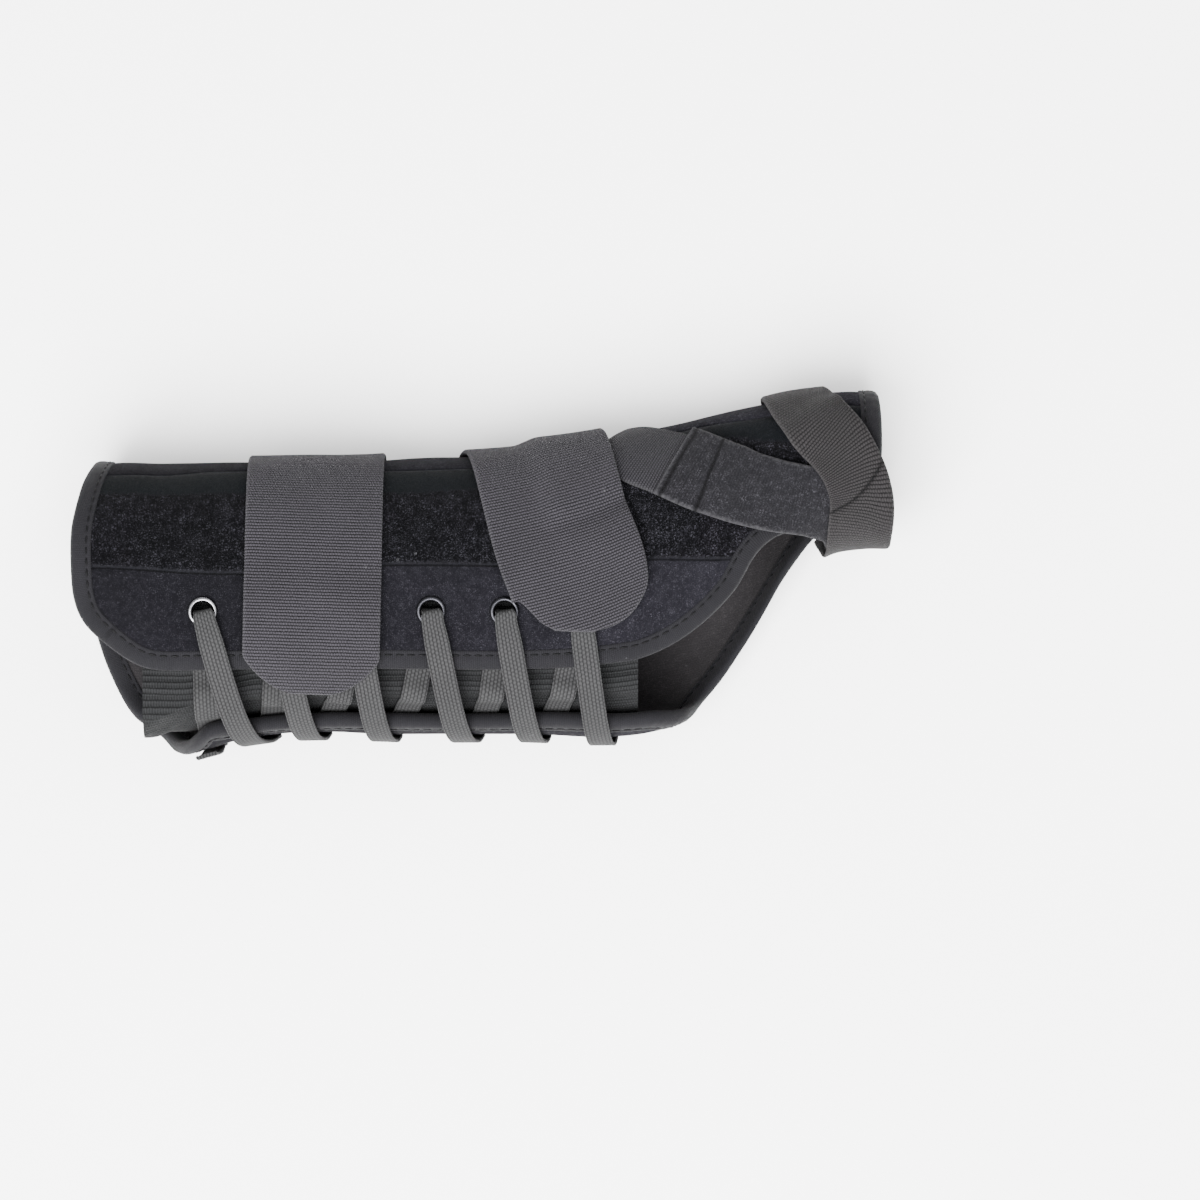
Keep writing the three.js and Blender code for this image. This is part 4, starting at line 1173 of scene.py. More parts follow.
@dataclass
class Foam:
    """The wrap's laminate, cut for the eyelets."""

    form: WrapForm
    tuck: float = 1.5  # where it starts inside the edge tape
    squeeze: float = 0.4
    hump: float = 0.45
    hole: float = 3.55
    sides: int = 28
    eyelets: list = field(default_factory=list)

    def places(self) -> tuple[np.ndarray, np.ndarray]:
        """Grid of unrolled places inside the edge.

        Returns:
            Places along and places round, row by row.
        """
        f = self.form
        ring = f.inset(self.tuck)
        c, r = f.columns, f.rows
        n = len(ring)
        top = ring[np.arange(0, c + 1)]
        right = ring[np.arange(c, c + r + 1)]
        low = ring[2 * c + r - np.arange(0, c + 1)]
        left = ring[(2 * c + 2 * r - np.arange(0, r + 1)) % n]
        t = (np.arange(r + 1) / r)[:, None, None]
        s = (np.arange(c + 1) / c)[None, :, None]
        middle = (1 - t) * top[None] + t * low[None]
        at_left = left[:, None] - (1 - t) * top[0] - t * low[0]
        at_right = right[:, None] - (1 - t) * top[-1] - t * low[-1]
        grid = middle + (1 - s) ** 6 * at_left + s**12 * at_right
        return grid[..., 0], grid[..., 1]

    def skin(self) -> Skin:
        """The laminate's mesh with its soft unevenness.

        Returns:
            The mesh before it is built.
        """
        f = self.form
        x, g = self.places()
        along = x / f.length + 0.5
        inside = np.maximum(f.inside_by(x, g), 0)
        seam = g - f.line_girth(SEAM_LINE, along)
        top = g - f.line_girth(BAND_TOP, along)
        low = g - f.line_girth(BAND_LOW, along)
        tight = self.squeeze * (1 - ease((inside - 3) / 6))
        free = ease((inside - 9) / 14)
        soft = self.hump * free * (soft_noise(x, g, 22, 3) - 0.2) * ease((x + 116) / 20)
        crease = 0.5 * np.exp(-((seam / 1.1) ** 2)) + 0.45 * np.exp(-((top / 1.3) ** 2))
        for at in self.eyelets:
            away = np.hypot(x - at[0], g - at[1])
            crease = crease + 0.35 * np.exp(-((away / 6.0) ** 2))
        h = -tight - crease * ease((inside - 4) / 3) + np.minimum(soft, 0.3)
        outer = f.on_wrap(x, g, h)
        inner = f.on_wrap(x, g, -f.wall + tight * 0.8)
        fields = {"seam_line": seam, "band_top": top, "band_low": low}
        skin = slab(outer, inner, np.stack([x, g], axis=-1), **fields)
        skin.slots = np.minimum(skin.slots, 1)
        return skin

    def build(self) -> bpy.types.Object:
        """Builds, cuts and dresses the laminate.

        Returns:
            The laminate.
        """
        body = self.skin().build("foam_wrap", [PILE.material(), LINING.material()])
        turn = np.linspace(0, 2 * math.pi, self.sides + 1)[:-1]
        cutters = []
        for at in self.eyelets:
            up = self.form.normal_at(at[0], at[1])
            side = np.array([1.0, 0, 0]) - up * up[0]
            side /= np.linalg.norm(side)
            other = np.cross(up, side)
            centre = self.form.on_wrap(at[0], at[1])
            circle = np.cos(turn)[:, None] * side + np.sin(turn)[:, None] * other
            rings = np.stack([centre + up * d + circle * self.hole for d in (-8.0, 6.0)])
            cutters.append(tube(rings, False).build("hole_cutter", []))
        for cutter in cutters:
            cut = body.modifiers.new("hole", "BOOLEAN")
            cut.operation = "DIFFERENCE"
            cut.solver = "EXACT"
            cut.object = cutter
        plain(body)
        for cutter in cutters:
            bpy.data.objects.remove(cutter)
        body.data.shade_smooth()
        body.data.set_sharp_from_angle(angle=SHARP)
        settle(body, ["wrap_body"])
        return body


@dataclass
class Binding:
    """The folded tape round the wrap's edge."""

    form: WrapForm
    profile: tuple = (
        (6.15, -0.10), (6.0, 0.14), (5.4, 0.22), (4.75, 0.00), (4.2, 0.20), (3.2, 0.42),
        (1.8, 0.42), (0.8, 0.10), (0.2, -0.7), (0.0, -1.75), (0.2, -2.8), (0.8, -3.6),
        (1.8, -3.92), (3.2, -3.97), (4.3, -3.8), (4.75, -3.7), (5.4, -3.92), (6.05, -3.84),
        (6.15, -3.5), (5.8, -3.42), (1.5, -3.3), (0.85, -1.75), (1.5, -0.2), (5.8, -0.1),
    )

    def build(self) -> bpy.types.Object:
        """Builds and dresses the tape.

        Returns:
            The tape.
        """
        f = self.form
        run = run_along(np.vstack([f.edge, f.edge[:1]]))[:-1]
        pucker = 0.05 * np.sin(run * 2 * math.pi / 3.4) + 0.06 * soft_noise(run, 0 * run, 6, 8)
        rings = []
        flat = []
        walk = run_along(np.array(self.profile))
        for k, (by, h) in enumerate(self.profile):
            place = f.inset(by)
            out = pucker if 0.5 < by < 6.1 and h > -1 else 0 * pucker
            rings.append(f.on_wrap(place[:, 0], place[:, 1], h + out))
            flat.append(np.stack([np.full(len(run), walk[k]), run], axis=1))
        rings = np.stack(rings, axis=1)
        uv = np.stack(flat, axis=1).reshape(-1, 2)
        skin = tube(rings, True, uv)
        tape = skin.build("edge_tape", [TAPE.material()])
        return settle(tape, ["edge_binding"])


@dataclass
class Gusset:
    """Rib-knit gusset tucked under both edges."""

    form: WrapForm
    depth: float = 6.5
    open_depth: float = 4.2
    bulge: float = 3.4
    thick: float = 1.2
    start: float = 0.0855
    end: float = 0.6874
    inset_back: float = 17.6
    inset_palm: float = 27.0
    tuck: float = 11.0
    rib: float = 1.7
    rib_rise: float = 0.42
    columns: int = 90
    rows: int = 330

    def height(self, x: np.ndarray, g: np.ndarray) -> np.ndarray:
        """Height of its outside over the wrap, nearly always below it.

        Args:
            x: places along, in millimetres.
            g: places round, in millimetres.

        Returns:
            The heights, in millimetres.
        """
        f = self.form
        away = -np.maximum(f.inside_by(x, g), f.inside_by(x, g - f.girth_at(x)))
        lift = ease((away - 3) / 6) * (self.depth - self.open_depth)
        return -self.depth + lift + ease((away - 9) / 8) * self.bulge

    def build(self) -> bpy.types.Object:
        """Builds and dresses the gusset.

        Returns:
            The gusset.
        """
        f = self.form
        along = np.linspace(self.start, self.end, self.columns + 1)
        x = f.length * (along - 0.5)
        girth = f.girth_at(x)
        first = f.line_girth(EDGE_BACK, np.maximum(along, EDGE_BACK[2][0]))
        last = f.line_girth(EDGE_PALM, np.maximum(along, EDGE_PALM[-2][0])) + girth
        first = first - self.inset_back - self.tuck
        last = last + self.inset_palm + self.tuck
        t = np.linspace(0, 1, self.rows + 1)[:, None]
        g = first[None] + (last - first)[None] * t
        xs = np.broadcast_to(x[None], g.shape)
        ends = ease((np.abs(t - 0.5) - 0.44) / 0.06) * (self.depth - f.wall - 0.6)
        span = float((last - first).mean())
        across = (t - 0.5) * span + 0 * g
        rib = np.abs(np.cos(math.pi * across / self.rib)) ** 0.8
        pull = 0.25 * soft_noise(xs, g, 9, 5)
        h = self.height(xs, g) + ends
        outer = f.on_wrap(xs, g, h + self.rib_rise * (rib - 1) + pull)
        inner = f.on_wrap(xs, g, h - self.thick + pull)
        uv = np.stack([xs, across], axis=-1)
        skin = slab(outer, inner, uv, edge=np.full(g.shape, 20.0))
        skin.slots = None
        gusset = skin.build("rib_gusset", [RIB.material()])
        settle(gusset, ["knit_gusset"])
        return gusset


@dataclass
class Ribbon:
    """A flat strap along a line on the wrap."""

    form: WrapForm
    name: str
    line: list
    width: float
    thick: float
    height: Callable
    finish: Cloth
    tip: float = 0.0
    step: float = 1.1
    columns: int = 30
    end_width: float = 0.0
    sewn: tuple = ()
    path: np.ndarray = field(init=False)
    run: np.ndarray = field(init=False)

    def __post_init__(self) -> None:
        """Lays the middle line."""
        self.path = evenly(smooth_line(self.form.unroll(self.line)), 600)
        self.run = run_along(self.path)
        self.length = float(self.run[-1])
        ahead = np.gradient(self.path, axis=0)
        ahead /= np.linalg.norm(ahead, axis=1, keepdims=True)
        self.side = np.stack([-ahead[:, 1], ahead[:, 0]], axis=1)

    def flat(self, run: np.ndarray, c: np.ndarray) -> tuple[np.ndarray, np.ndarray]:
        """Unrolled places at lengths run and offsets c from the middle line.

        Args:
            run: lengths along the strap.
            c: offsets from its middle line.

        Returns:
            Places along and places round.
        """
        at = [np.interp(run, self.run, self.path[:, k]) for k in (0, 1)]
        side = [np.interp(run, self.run, self.side[:, k]) for k in (0, 1)]
        return at[0] + side[0] * c, at[1] + side[1] * c

    def place(self, run: np.ndarray, c: np.ndarray, over: np.ndarray | float) -> np.ndarray:
        """Places on the strap, over its underside."""
        x, g = self.flat(run, c)
        return self.form.on_wrap(x, g, self.height(run, c, self.length) + over)

    def run_near(self, row: Row) -> float:
        """Length along the strap at the place nearest to a table row."""
        place = self.form.unroll([row])[0]
        return float(self.run[np.argmin(np.linalg.norm(self.path - place, axis=1))])

    def straight_cloth(self, run: np.ndarray, c: np.ndarray) -> np.ndarray:
        """Cloth coordinates with straight courses, square to the strap's visible part.

        Args:
            run: lengths along the strap.
            c: offsets from its middle line.

        Returns:
            Across and along, in the last axis.
        """
        way = self.path[self.run > self.length * 0.4][0] - self.path[0]
        way /= np.linalg.norm(way)
        x, g = self.flat(run, c)
        x, g = x - self.path[0, 0], g - self.path[0, 1]
        return np.stack([g * way[0] - x * way[1], x * way[0] + g * way[1]], axis=-1)

    def half_at(self, run: np.ndarray) -> np.ndarray:
        """Half the strap's width at a length from its tip.

        Args:
            run: lengths along the strap.

        Returns:
            Half widths, in millimetres.
        """
        if self.tip <= 0:
            end = self.end_width or self.width
            return (self.width + (end - self.width) * run / self.length) / 2
        table = np.array(TIP)
        return self.width / 2 * read_table(table[:, 0], table[:, 1], run / self.tip)

    def build(self, slot: str, node: str) -> bpy.types.Object:
        """Builds and dresses the strap.

        Args:
            slot: a slot name, not used.
            node: the solid that it stands for.

        Returns:
            The strap.
        """
        steps = int(self.length / self.step)
        run = np.linspace(0, self.length, steps + 1)
        if self.tip > 0:
            near = np.linspace(0, 1, 18) ** 1.6 * self.tip
            run = np.concatenate([near, run[run > self.tip + 0.4]])
        run = run[:, None]
        rim = np.array([0, 0.25, 0.7, 1.4])
        half = self.half_at(run)
        inner = np.linspace(-1, 1, self.columns + 1)[1:-1]
        left = -half + rim[None, :]
        right = half - rim[None, ::-1]
        c = np.concatenate([left, inner[None, :] * (half - 1.9), right], axis=1)
        edge = half - np.abs(c)
        along = run + 0 * c
        near = np.minimum(edge, np.minimum(along, self.length - along))
        round_ = self.thick * 0.42 * (1 - np.clip(near / 0.8, 0, 1)) ** 2
        wave = 0.12 * soft_noise(along, c, 14, 11)
        sewn = np.full(c.shape, 30.0)
        for at, slant in self.sewn:
            gap = run - at - slant * c
            sewn = np.where(np.abs(gap) < np.abs(sewn), gap, sewn)
        groove = 0.55 * np.exp(-((sewn / 1.0) ** 2)) * np.clip(near / 1.5, 0, 1)
        over = self.thick - round_ + np.maximum(wave, -0.1) - groove
        outer = self.place(along, c, over)
        outer[..., 2] = np.maximum(outer[..., 2], 0)
        low = self.place(along, c, round_ * 0.8)
        uv = self.straight_cloth(along, c) if self.tip > 0 else np.stack([c, along], axis=-1)
        skin = slab(outer, low, uv, edge=near, sewn=sewn)
        skin.slots = None
        strap = skin.build(self.name, [self.finish.material()])
        settle(strap, [node])
        return strap


@dataclass
class Straps:
    """Both wide straps and the three thumb straps."""

    form: WrapForm
    layer: float = 0.6
    web: float = 1.6
    thin: float = 1.4
    over_lace: float = 2.85
    over_base: float = 2.6
    over_edge: float = 0.85
    wide: float = 40.0
    wide_tip: float = 11.0
    base_width: float = 20.0
    thumb_width: float = 22.0
    thumb_end: float = 17.0
    band_width: float = 19.0
    made: dict = field(default_factory=dict)

    def _forearm_height(self, run: np.ndarray, c: np.ndarray, length: float) -> np.ndarray:
        """Height of the forearm strap, up over the laces by its tip."""
        return self.layer + ease((38 - run) / 12) * (self.over_lace - self.layer) + 0 * c

    def _wrist_height(self, run: np.ndarray, c: np.ndarray, length: float) -> np.ndarray:
        """Height of the wrist strap, over the laces and the thumb strap's base.

        Args:
            run: lengths along the strap.
            c: offsets from its middle line.
            length: the strap's length, not used.

        Returns:
            The heights, in millimetres.
        """
        lace = ease((34 - run) / 12) * (self.over_lace - self.layer)
        base = ease((c + 6) / 8) * ease((run - 30) / 8) * ease((88 - run) / 10)
        return self.layer + np.maximum(lace, base * (self.over_base - self.layer))

    def _base_height(self, run: np.ndarray, c: np.ndarray, length: float) -> np.ndarray:
        """Height of the thumb strap's base."""
        return self.layer + 0 * run + 0 * c

    def _thumb_height(self, run: np.ndarray, c: np.ndarray, length: float) -> np.ndarray:
        """Height of the thumb strap, over its base at the start."""
        return self.over_edge + ease((25 - run) / 6) * (self.thin + 0.3) + 0 * c

    def _band_height(self, run: np.ndarray, c: np.ndarray, length: float) -> np.ndarray:
        """Height of the thumb band, over the thumb strap at both ends."""
        ends = np.maximum(ease((78 - run) / 8), ease((run - length + 22) / 8))
        return self.over_edge + 2.0 * ends + 0 * c

    def build(self) -> None:
        """Builds and dresses every strap."""
        rows = [
            ("forearm_web", FOREARM_LINE, self.wide, self.web, self._forearm_height, WEB,
             self.wide_tip, "strap_web", "forearm_strap"),
            ("wrist_web", WRIST_LINE, self.wide, self.web, self._wrist_height, WEB,
             self.wide_tip, "strap_web", "wrist_strap"),
            ("thumb_base_web", THUMB_BASE_LINE, self.base_width, self.thin, self._base_height,
             NARROW_WEB, 0, "narrow_web", "thumb_strap_base"),
            ("thumb_loop_strap", THUMB_STRAP_LINE, self.thumb_width, self.thin,
             self._thumb_height, LOOP_STRAP, 0, "loop_strap", "thumb_strap"),
            ("thumb_elastic", THUMB_BAND_LINE, self.band_width, self.thin, self._band_height,
             ELASTIC, 0, "elastic_web", "thumb_band"),
        ]
        for name, line, width, thick, height, finish, tip, slot, node in rows:
            ribbon = Ribbon(self.form, name, line, width, thick, height, finish, tip)
            if name == "thumb_loop_strap":
                ribbon.end_width = self.thumb_end
                ribbon.sewn = ((1.9, 0.02), (12.4, 0.1))
            elif name == "thumb_elastic":
                ribbon.sewn = ((ribbon.run_near((0.9635, 0.277, B)), 0.67),)
            ribbon.build(slot, node)
            self.made[name] = ribbon


@dataclass
class Lacing:
    """The flat lace and the eyelets that it runs through."""

    form: WrapForm
    gusset: Gusset
    width: float = 7.4
    thick: float = 1.2
    pinch: float = 5.5
    mouth: float = 6.5
    clear: float = 2.4  # kept free beside an eyelet for the points of its passing
    over: float = 1.95
    under: float = 5.3
    ribs: int = 7
    back: np.ndarray = field(init=False)
    palm: np.ndarray = field(init=False)

    def __post_init__(self) -> None:
        """Places the eyelets."""
        f = self.form
        back = np.array(EYELETS_BACK)
        palm = np.array(EYELETS_PALM)
        g_back = f.line_girth(EDGE_BACK, back) - self.gusset.inset_back
        corner = EDGE_PALM[-2][0]
        g_palm = f.line_girth(EDGE_PALM, np.maximum(palm, corner)) + self.gusset.inset_palm
        self.back = np.stack([f.length * (back - 0.5), g_back], axis=1)
        self.palm = np.stack([f.length * (palm - 0.5), g_palm], axis=1)

    def stops(self) -> tuple[np.ndarray, np.ndarray, np.ndarray]:
        """Middle points of the lace, its widths and its side directions.

        Returns:
            Points, widths and side directions, in order along the lace.
        """
        f = self.form
        palm = self.palm + np.stack([0 * self.palm[:, 0], f.girth_at(self.palm[:, 0])], axis=1)
        spots: list = []
        widths: list = []
        sides: list = []

        def arm(start: np.ndarray, end: np.ndarray, inside: bool) -> None:
            """A straight stretch over or under the edges.

            Args:
                start: unrolled start.
                end: unrolled end.
                inside: whether it runs under the edges.
            """
            d = np.linalg.norm(end - start)
            steps = max(8, round(d / 3.2))
            way = (end - start) / d
            flip = -1 if way[1] < 0 else 1
            for i in range(steps + 1):
                p = start + (end - start) * i / steps
                near = min(i / steps, 1 - i / steps) * d
                if near < self.clear and not (i == 0 and not spots):
                    continue
                under = max(
                    float(self.gusset.height(np.array(p[0] + a), np.array(p[1])))
                    for a in (-4, 0, 4)
                )
                raised = under + self.gusset.depth
                ride = raised + min(raised, 0.9) - self.under
                h = max(-self.under, ride) if inside else max(self.over, ride)
                w = self.mouth + (self.width - self.mouth) * float(ease((near - 1.5) / 9))
                spots.append(f.on_wrap(p[0], p[1], h))
                widths.append(w)
                side = (flip * way[1], -flip * way[0])
                hint = f.on_wrap(p[0] + side[0] * 0.5, p[1] + side[1] * 0.5, h)
                sides.append(hint - spots[-1])

        def passing(at: np.ndarray, before: np.ndarray, after: np.ndarray, outward: bool) -> None:
            """Through an eyelet, along its own axis.

            Args:
                at: the eyelet's place.
                before: where the lace comes from.
                after: where it goes.
                outward: whether it comes out of the eyelet.
            """
            a = (before - at) / np.linalg.norm(before - at)
            b = (after - at) / np.linalg.norm(after - at)
            low, high = (a, b) if outward else (b, a)
            up = f.normal_at(at[0], at[1])
            rows = [
                (low, -self.under, 1.0, 0.0), (low, -self.under, 0.25, 0.35),
                (low, -self.under, 0.0, 1.1), (high, self.over, 0.0, -1.1),
                (high, self.over, 0.25, -0.35), (high, self.over, 1.0, 0.0),
            ]  # towards, height, how far out, rise
            if not outward:
                rows.reverse()
            for way, h, out, rise in rows:
                x, g = at[0] + way[0] * out, at[1] + way[1] * out
                spots.append(f.on_wrap(x, g) + up * (h + rise))
                widths.append(self.mouth if out > 0.5 else self.pinch)
                sign = 1 if way[1] >= 0 else -1
                side = (sign * way[1], -sign * way[0])
                hint = f.on_wrap(x + side[0] * 0.5, g + side[1] * 0.5) - f.on_wrap(x, g)
                sides.append(hint)

        last = palm[-1] + np.array([4.0, -14.0])
        first = palm[0] - np.array([2.0, 20.0])
        arm(first, palm[0], False)
        passing(palm[0], first, self.back[0], False)
        for i in range(len(self.back)):
            arm(palm[i], self.back[i], True)
            passing(self.back[i], palm[i], palm[i + 1], True)
            arm(self.back[i], palm[i + 1], False)
            after = self.back[i + 1] if i + 1 < len(self.back) else last
            passing(palm[i + 1], self.back[i], after, False)
        arm(palm[-1], last, True)
        return np.array(spots), np.array(widths), np.array(sides)

    def build_lace(self) -> bpy.types.Object:
        """Builds and dresses the lace.

        Returns:
            The lace.
        """
        spots, widths, sides = self.stops()
        fine = 3
        path = smooth_line(spots, steps=fine)
        index = np.arange(len(path)) / fine
        place = np.arange(len(spots))
        width = np.interp(index, place, widths)
        sides /= np.linalg.norm(sides, axis=1, keepdims=True)
        side = np.stack([np.interp(index, place, sides[:, k]) for k in range(3)], axis=1)
        ahead = np.gradient(path, axis=0)
        ahead /= np.linalg.norm(ahead, axis=1, keepdims=True)
        side -= ahead * np.sum(side * ahead, axis=1, keepdims=True)
        side /= np.linalg.norm(side, axis=1, keepdims=True)
        up = np.cross(ahead, side)
        count = self.ribs * 4
        s = np.linspace(-1, 1, count + 1)
        ridge = 0.70 + 0.30 * np.abs(np.sin(math.pi * (s + 1) / 2 * self.ribs))
        ridge[0] = ridge[-1] = 0.35
        a = np.concatenate([s, s[::-1]])
        b = np.concatenate([ridge, -ridge[::-1]]) * self.thick / 2
        run = run_along(path)
        rings = (
            path[:, None]
            + side[:, None] * (a[None, :, None] * width[:, None, None] / 2)
            + up[:, None] * b[None, :, None]
        )
        uv = np.zeros((len(path), len(a), 2))
        uv[..., 0] = a[None, :] * self.width / 2
        uv[..., 1] = run[:, None]
        skin = tube(rings, False, uv.reshape(-1, 2))
        skin.fields["edge"] = np.full(len(path) * len(a), 20.0)
        lace = skin.build("flat_lace", [LACE.material()])
        return settle(lace, ["lace"])

    def ring_points(self, places: np.ndarray, name: str) -> bpy.types.Object:
        """Points that carry the eyelets, with their directions.

        Args:
            places: unrolled places.
            name: the object's name.

        Returns:
            A mesh of loose points.
        """
        f = self.form
        spots = (f.on_wrap(places[:, 0], places[:, 1]) + SHIFT) * MM
        ups = f.normal_at(places[:, 0], places[:, 1])
        mesh = bpy.data.meshes.new(name)
        mesh.from_pydata(spots.tolist(), [], [])
        keep_up(mesh, ups)
        return place_object(name, mesh)

    def build_eyelets(self) -> None:
        """Rolls one eyelet and sets it at every place."""
        profile = np.array([
            (3.1, 0.30), (3.16, 0.58), (3.34, 0.80), (3.6, 0.90), (3.9, 0.86), (4.15, 0.68),
            (4.32, 0.42), (4.38, 0.2), (4.3, 0.08), (4.1, 0.1), (3.7, 0.2), (3.42, 0.15),
            (3.4, -0.5), (3.4, -3.7), (3.6, -3.9), (3.9, -4.0), (4.0, -4.2), (3.8, -4.38),
            (3.4, -4.42), (3.15, -4.3), (3.1, -4.0),
        ])
        turn = np.linspace(0, 2 * math.pi, 41)[:-1]
        rings = np.stack([
            np.stack([profile[:, 0] * math.cos(t), profile[:, 0] * math.sin(t), profile[:, 1]], axis=1)
            for t in turn
        ])
        mould = tube(rings - SHIFT, True).build("eyelet_mould", [])
        bright = self.ring_points(self.back[:1], "bright_eyelet_ring")
        dark = self.ring_points(np.vstack([self.back[1:], self.palm]), "dark_eyelet_rings")
        tree = eyelet_tree()
        for obj, metal in ((bright, BRIGHT), (dark, GUN)):
            use_tree(obj, tree, {"Eyelet": mould, "Metal": metal.material()})
            plain(obj)
            obj.data.shade_smooth()
        bpy.data.objects.remove(mould)
        rest = [f"eyelet_back_{i}" for i in range(2, 7)] + [f"eyelet_palm_{i}" for i in range(1, 8)]
        settle(bright, ["eyelet_back_1"])
        settle(dark, rest)


def new_tree(name: str, inputs: dict[str, str]) -> tuple[bpy.types.NodeTree, Nodes, object, object]:
    """A new geometry tree with named inputs.

    Args:
        name: the tree's name.
        inputs: socket types by name, after the geometry.

    Returns:
        The tree, its helper, its input node and its output node.
    """
    tree = bpy.data.node_groups.new(name, "GeometryNodeTree")
    tree.interface.new_socket(name="Geometry", in_out="INPUT", socket_type="NodeSocketGeometry")
    for key, kind in inputs.items():
        tree.interface.new_socket(name=key, in_out="INPUT", socket_type=kind)
    tree.interface.new_socket(name="Geometry", in_out="OUTPUT", socket_type="NodeSocketGeometry")
    start = tree.nodes.new("NodeGroupInput")
    end = tree.nodes.new("NodeGroupOutput")
    return tree, Nodes(tree), start, end


def use_tree(obj: bpy.types.Object, tree: bpy.types.NodeTree, values: dict[str, object]) -> None:
    """Puts a tree on an object and sets its inputs by their identifiers.

    Args:
        obj: the object.
        tree: the tree.
        values: values by input name.
    """
    modifier = obj.modifiers.new(tree.name, "NODES")
    modifier.node_group = tree
    for item in tree.interface.items_tree:
        if item.item_type == "SOCKET" and item.in_out == "INPUT" and item.name in values:
            modifier[item.identifier] = values[item.name]


def eyelet_tree() -> bpy.types.NodeTree:
    """Sets one rolled eyelet at each point, turned to face outwards.

    Returns:
        The tree.
    """
    kinds = {"Eyelet": "NodeSocketObject", "Metal": "NodeSocketMaterial"}
    tree, n, start, end = new_tree("Set Eyelets", kinds)
    mould = n.add("GeometryNodeObjectInfo", {"Object": start.outputs["Eyelet"]})
    up = n.add("GeometryNodeInputNamedAttribute", {"Name": "up"}, data_type="FLOAT_VECTOR")
    turn = n.add("FunctionNodeAlignRotationToVector", {"Vector": up.outputs["Attribute"]}, axis="Z")
    dots = n.add("GeometryNodeMeshToPoints", {"Mesh": start.outputs["Geometry"]})
    feeds = {
        "Points": dots.outputs[0], "Instance": mould.outputs["Geometry"],
        "Rotation": turn.outputs[0],
    }
    copies = n.add("GeometryNodeInstanceOnPoints", feeds)
    n.finish(end, copies, start.outputs["Metal"])
    return tree


def stitch_tree() -> bpy.types.NodeTree:
    """Sets stitches of thread at an even pitch along lines.

    Returns:
        The tree.
    """
    kinds = {
        "Pitch": "NodeSocketFloat", "Length": "NodeSocketFloat", "Radius": "NodeSocketFloat",
        "Thread": "NodeSocketMaterial",
    }
    tree, n, start, end = new_tree("Stitch Row", kinds)
    curve = n.add("GeometryNodeMeshToCurve", {"Mesh": start.outputs["Geometry"]})
    even = n.add("GeometryNodeResampleCurve", {"Curve": curve.outputs[0]}, mode="LENGTH")
    n.feed(even.inputs["Length"], start.outputs["Pitch"])
    ball = n.add("GeometryNodeMeshUVSphere", {"Segments": 6, "Rings": 5, "Radius": 1.0})
    half = n.math("MULTIPLY", start.outputs["Length"], 0.5)
    radius = start.outputs["Radius"]
    size = n.add("ShaderNodeCombineXYZ", {0: radius, 1: radius, 2: half})
    grain = n.add("GeometryNodeTransform", {"Geometry": ball.outputs["Mesh"], "Scale": size.outputs[0]})
    ahead = n.add("GeometryNodeInputTangent")
    up = n.add("GeometryNodeInputNamedAttribute", {"Name": "up"}, data_type="FLOAT_VECTOR")
    along = n.add("FunctionNodeAlignRotationToVector", {"Vector": ahead.outputs[0]}, axis="Z")
    feeds = {"Rotation": along.outputs[0], "Vector": up.outputs["Attribute"]}
    turn = n.add("FunctionNodeAlignRotationToVector", feeds, axis="Y", pivot_axis="Z")
    feeds = {"Points": even.outputs[0], "Instance": grain.outputs[0], "Rotation": turn.outputs[0]}
    copies = n.add("GeometryNodeInstanceOnPoints", feeds)
    n.finish(end, copies, start.outputs["Thread"])
    return tree


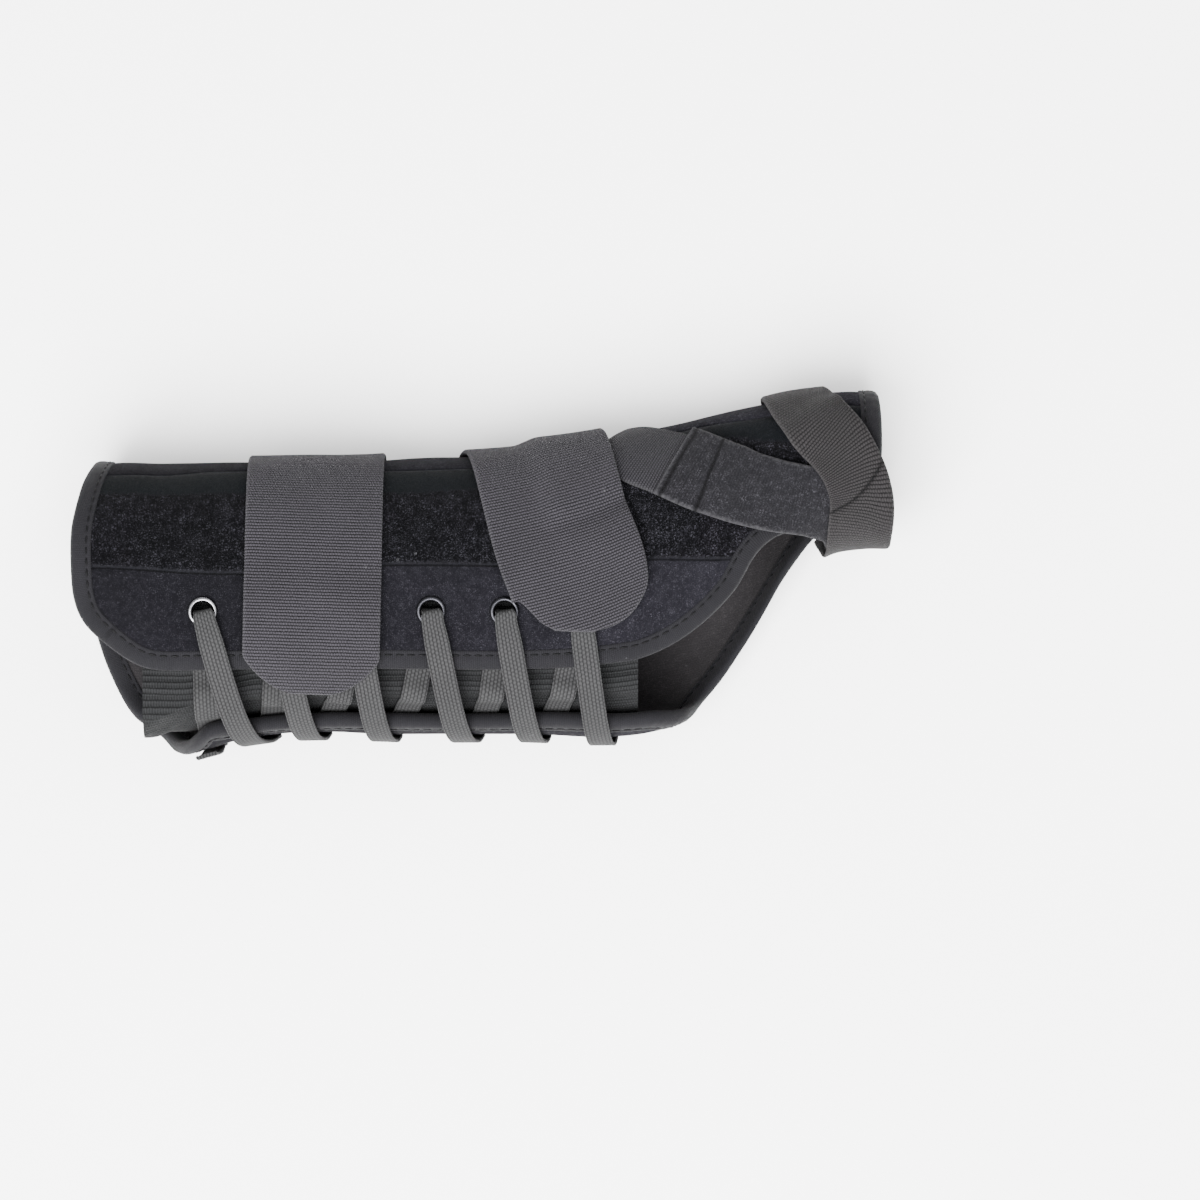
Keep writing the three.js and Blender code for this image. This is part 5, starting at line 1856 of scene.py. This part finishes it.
@dataclass
class Stitching:
    """Rows of stitches on the tape and on the straps."""

    form: WrapForm
    straps: Straps
    seam_inset: float = 4.75
    seam_height: float = 0.12
    inner_height: float = -3.80
    box_half: float = 17.0
    box_ends: tuple[float, float] = (4.0, 20.0)  # from the strap's hidden end
    tree: bpy.types.NodeTree | None = None

    def lines(self, name: str, rows: Sequence[np.ndarray], closed: bool = False) -> bpy.types.Object:
        """Mesh lines with the outward direction at each point.

        Args:
            name: the object's name.
            rows: for each line, its points and directions side by side.
            closed: whether each line ends where it starts.

        Returns:
            The object.
        """
        points = []
        ups = []
        edges = []
        for row in rows:
            base = len(points)
            points.extend(((row[:, :3] + SHIFT) * MM).tolist())
            ups.extend(row[:, 3:].tolist())
            edges.extend((base + i, base + i + 1) for i in range(len(row) - 1))
            if closed:
                edges.append((base + len(row) - 1, base))
        mesh = bpy.data.meshes.new(name)
        mesh.from_pydata(points, edges, [])
        keep_up(mesh, ups)
        return place_object(name, mesh)

    def sew(
        self, obj: bpy.types.Object, pitch: float, length: float, radius: float, thread: Thread,
    ) -> bpy.types.Object:
        """Turns lines into stitches, sizes in millimetres.

        Args:
            obj: the lines.
            pitch: from one stitch to the next.
            length: of a stitch.
            radius: of the thread.
            thread: its finish.

        Returns:
            The stitches.
        """
        self.tree = self.tree or stitch_tree()
        values = {
            "Pitch": pitch * MM, "Length": length * MM, "Radius": radius * MM,
            "Thread": thread.material(),
        }
        use_tree(obj, self.tree, values)
        plain(obj)
        obj.data.shade_smooth()
        return settle(obj)

    def on_edge(self, by: float, h: float) -> np.ndarray:
        """Line round the edge, by millimetres inside it.

        Args:
            by: how far inside the edge.
            h: height over the wrap.

        Returns:
            Its points and outward directions.
        """
        place = self.form.inset(by)
        spots = self.form.on_wrap(place[:, 0], place[:, 1], h)
        return np.hstack([spots, self.form.normal_at(place[:, 0], place[:, 1])])

    def on_strap(
        self, name: str, ends: Sequence[tuple[float, float]], sunk: float = 0.0
    ) -> np.ndarray:
        """Line on a strap's outside.

        Args:
            name: the strap.
            ends: places it runs through, as length along and offset.
            sunk: height over the strap's outside.

        Returns:
            Its points and outward directions.
        """
        ribbon = self.straps.made[name]
        line = evenly(np.array(ends, float), 40)
        spots = ribbon.place(line[:, 0], line[:, 1], ribbon.thick - 0.02 + sunk)
        spots[:, 2] = np.maximum(spots[:, 2], 0.22)
        x, g = ribbon.flat(line[:, 0], line[:, 1])
        return np.hstack([spots, self.form.normal_at(x, g)])

    def build(self) -> None:
        """Builds every row of stitches."""
        for name, height in (
            ("tape_stitches", self.seam_height), ("tape_stitches_inside", self.inner_height),
        ):
            seam = self.lines(name, [self.on_edge(self.seam_inset, height)], closed=True)
            self.sew(seam, 3.3, 2.4, 0.32, DARK_THREAD)
        rows = []
        for name, half in (("thumb_loop_strap", 9.8), ("thumb_elastic", 8.6)):
            for at, slant in self.straps.made[name].sewn:
                ends = [(at - slant * half, -half), (at + slant * half, half)]
                rows.append(self.on_strap(name, ends, -0.42))
        for name in ("forearm_web", "wrist_web"):
            length = self.straps.made[name].length
            near, far = (length - end for end in self.box_ends)
            half = self.box_half
            box = [(near, -half), (near, half), (far, half), (far, -half)]
            rows.append(self.on_strap(name, [*box, box[0]]))
        sewn = self.lines("strap_stitches", rows)
        self.sew(sewn, 2.4, 1.9, 0.2, DARK_THREAD)


@dataclass
class Studio:
    """Pale floor, soft lights and the camera straight over the splint."""

    middle: tuple[float, float] = (0.03411, -0.00815)
    view_width: float = 0.353
    aim: float = 0.040
    distance: float = 2.4
    sensor: float = 36.0
    floor_half: float = 4.0
    world_light: float = 1.55

    def build(self) -> None:
        """Builds the camera, the floor and the lights."""
        scene = bpy.context.scene
        data = bpy.data.cameras.new("photo_camera")
        data.sensor_width = self.sensor
        data.lens = self.sensor * self.distance / self.view_width
        data.clip_end = 20.0
        camera = place_object("photo_camera", data)
        camera.location = (*self.middle, self.aim + self.distance)
        scene.camera = camera
        mesh = bpy.data.meshes.new("pale_floor")
        w = self.floor_half
        mesh.from_pydata([(-w, -w, 0), (w, -w, 0), (w, w, 0), (-w, w, 0)], [], [(0, 1, 2, 3)])
        material, n, shader = start_material("pale_paper")
        place = n.add("ShaderNodeTexCoord").outputs["Object"]
        tone = n.step(n.noise(place, 3.0, 2.0), 0.2, 0.8)
        n.feed(shader.inputs["Base Color"], n.blend(tone, grey(0.86, 0.86, 0.86), grey(0.88, 0.88, 0.88)))
        shader.inputs["Roughness"].default_value = 0.9
        shader.inputs["Specular IOR Level"].default_value = 0.1
        mesh.materials.append(material)
        floor = place_object("pale_floor", mesh)
        self.light("key", (-0.3, -0.9, 1.8), 1.7, 310.0)
        self.light("fill", (0.9, 0.7, 1.9), 1.6, 30.0)
        self.light("side", (-1.3, -0.5, 1.3), 1.0, 15.0)
        world = bpy.data.worlds.new("studio")
        world.use_nodes = True
        back = world.node_tree.nodes["Background"]
        back.inputs["Color"].default_value = WHITE
        back.inputs["Strength"].default_value = self.world_light
        scene.world = world

    def light(self, name: str, place: tuple, size: float, power: float) -> None:
        """One soft square light aimed at the splint.

        Args:
            name: the lamp's name.
            place: where it stands.
            size: its side, in metres.
            power: its power, in watts.
        """
        data = bpy.data.lights.new(name, "AREA")
        data.size = size
        data.energy = power
        lamp = place_object(name, data)
        lamp.location = place
        way = Vector((0.03, 0.0, 0.03)) - Vector(place)
        lamp.rotation_euler = way.to_track_quat("-Z", "Y").to_euler()


def main() -> None:
    """Builds the studio and every piece of the splint."""
    logging.basicConfig(level=logging.INFO, format="%(message)s")
    Studio().build()
    form = WrapForm()
    gusset = Gusset(form)
    lacing = Lacing(form, gusset)
    eyelets = [*lacing.back, *lacing.palm]
    Foam(form, eyelets=eyelets).build()
    Binding(form).build()
    gusset.build()
    straps = Straps(form)
    straps.build()
    lacing.build_lace()
    lacing.build_eyelets()
    Stitching(form, straps).build()


if __name__ == "__main__":
    main()
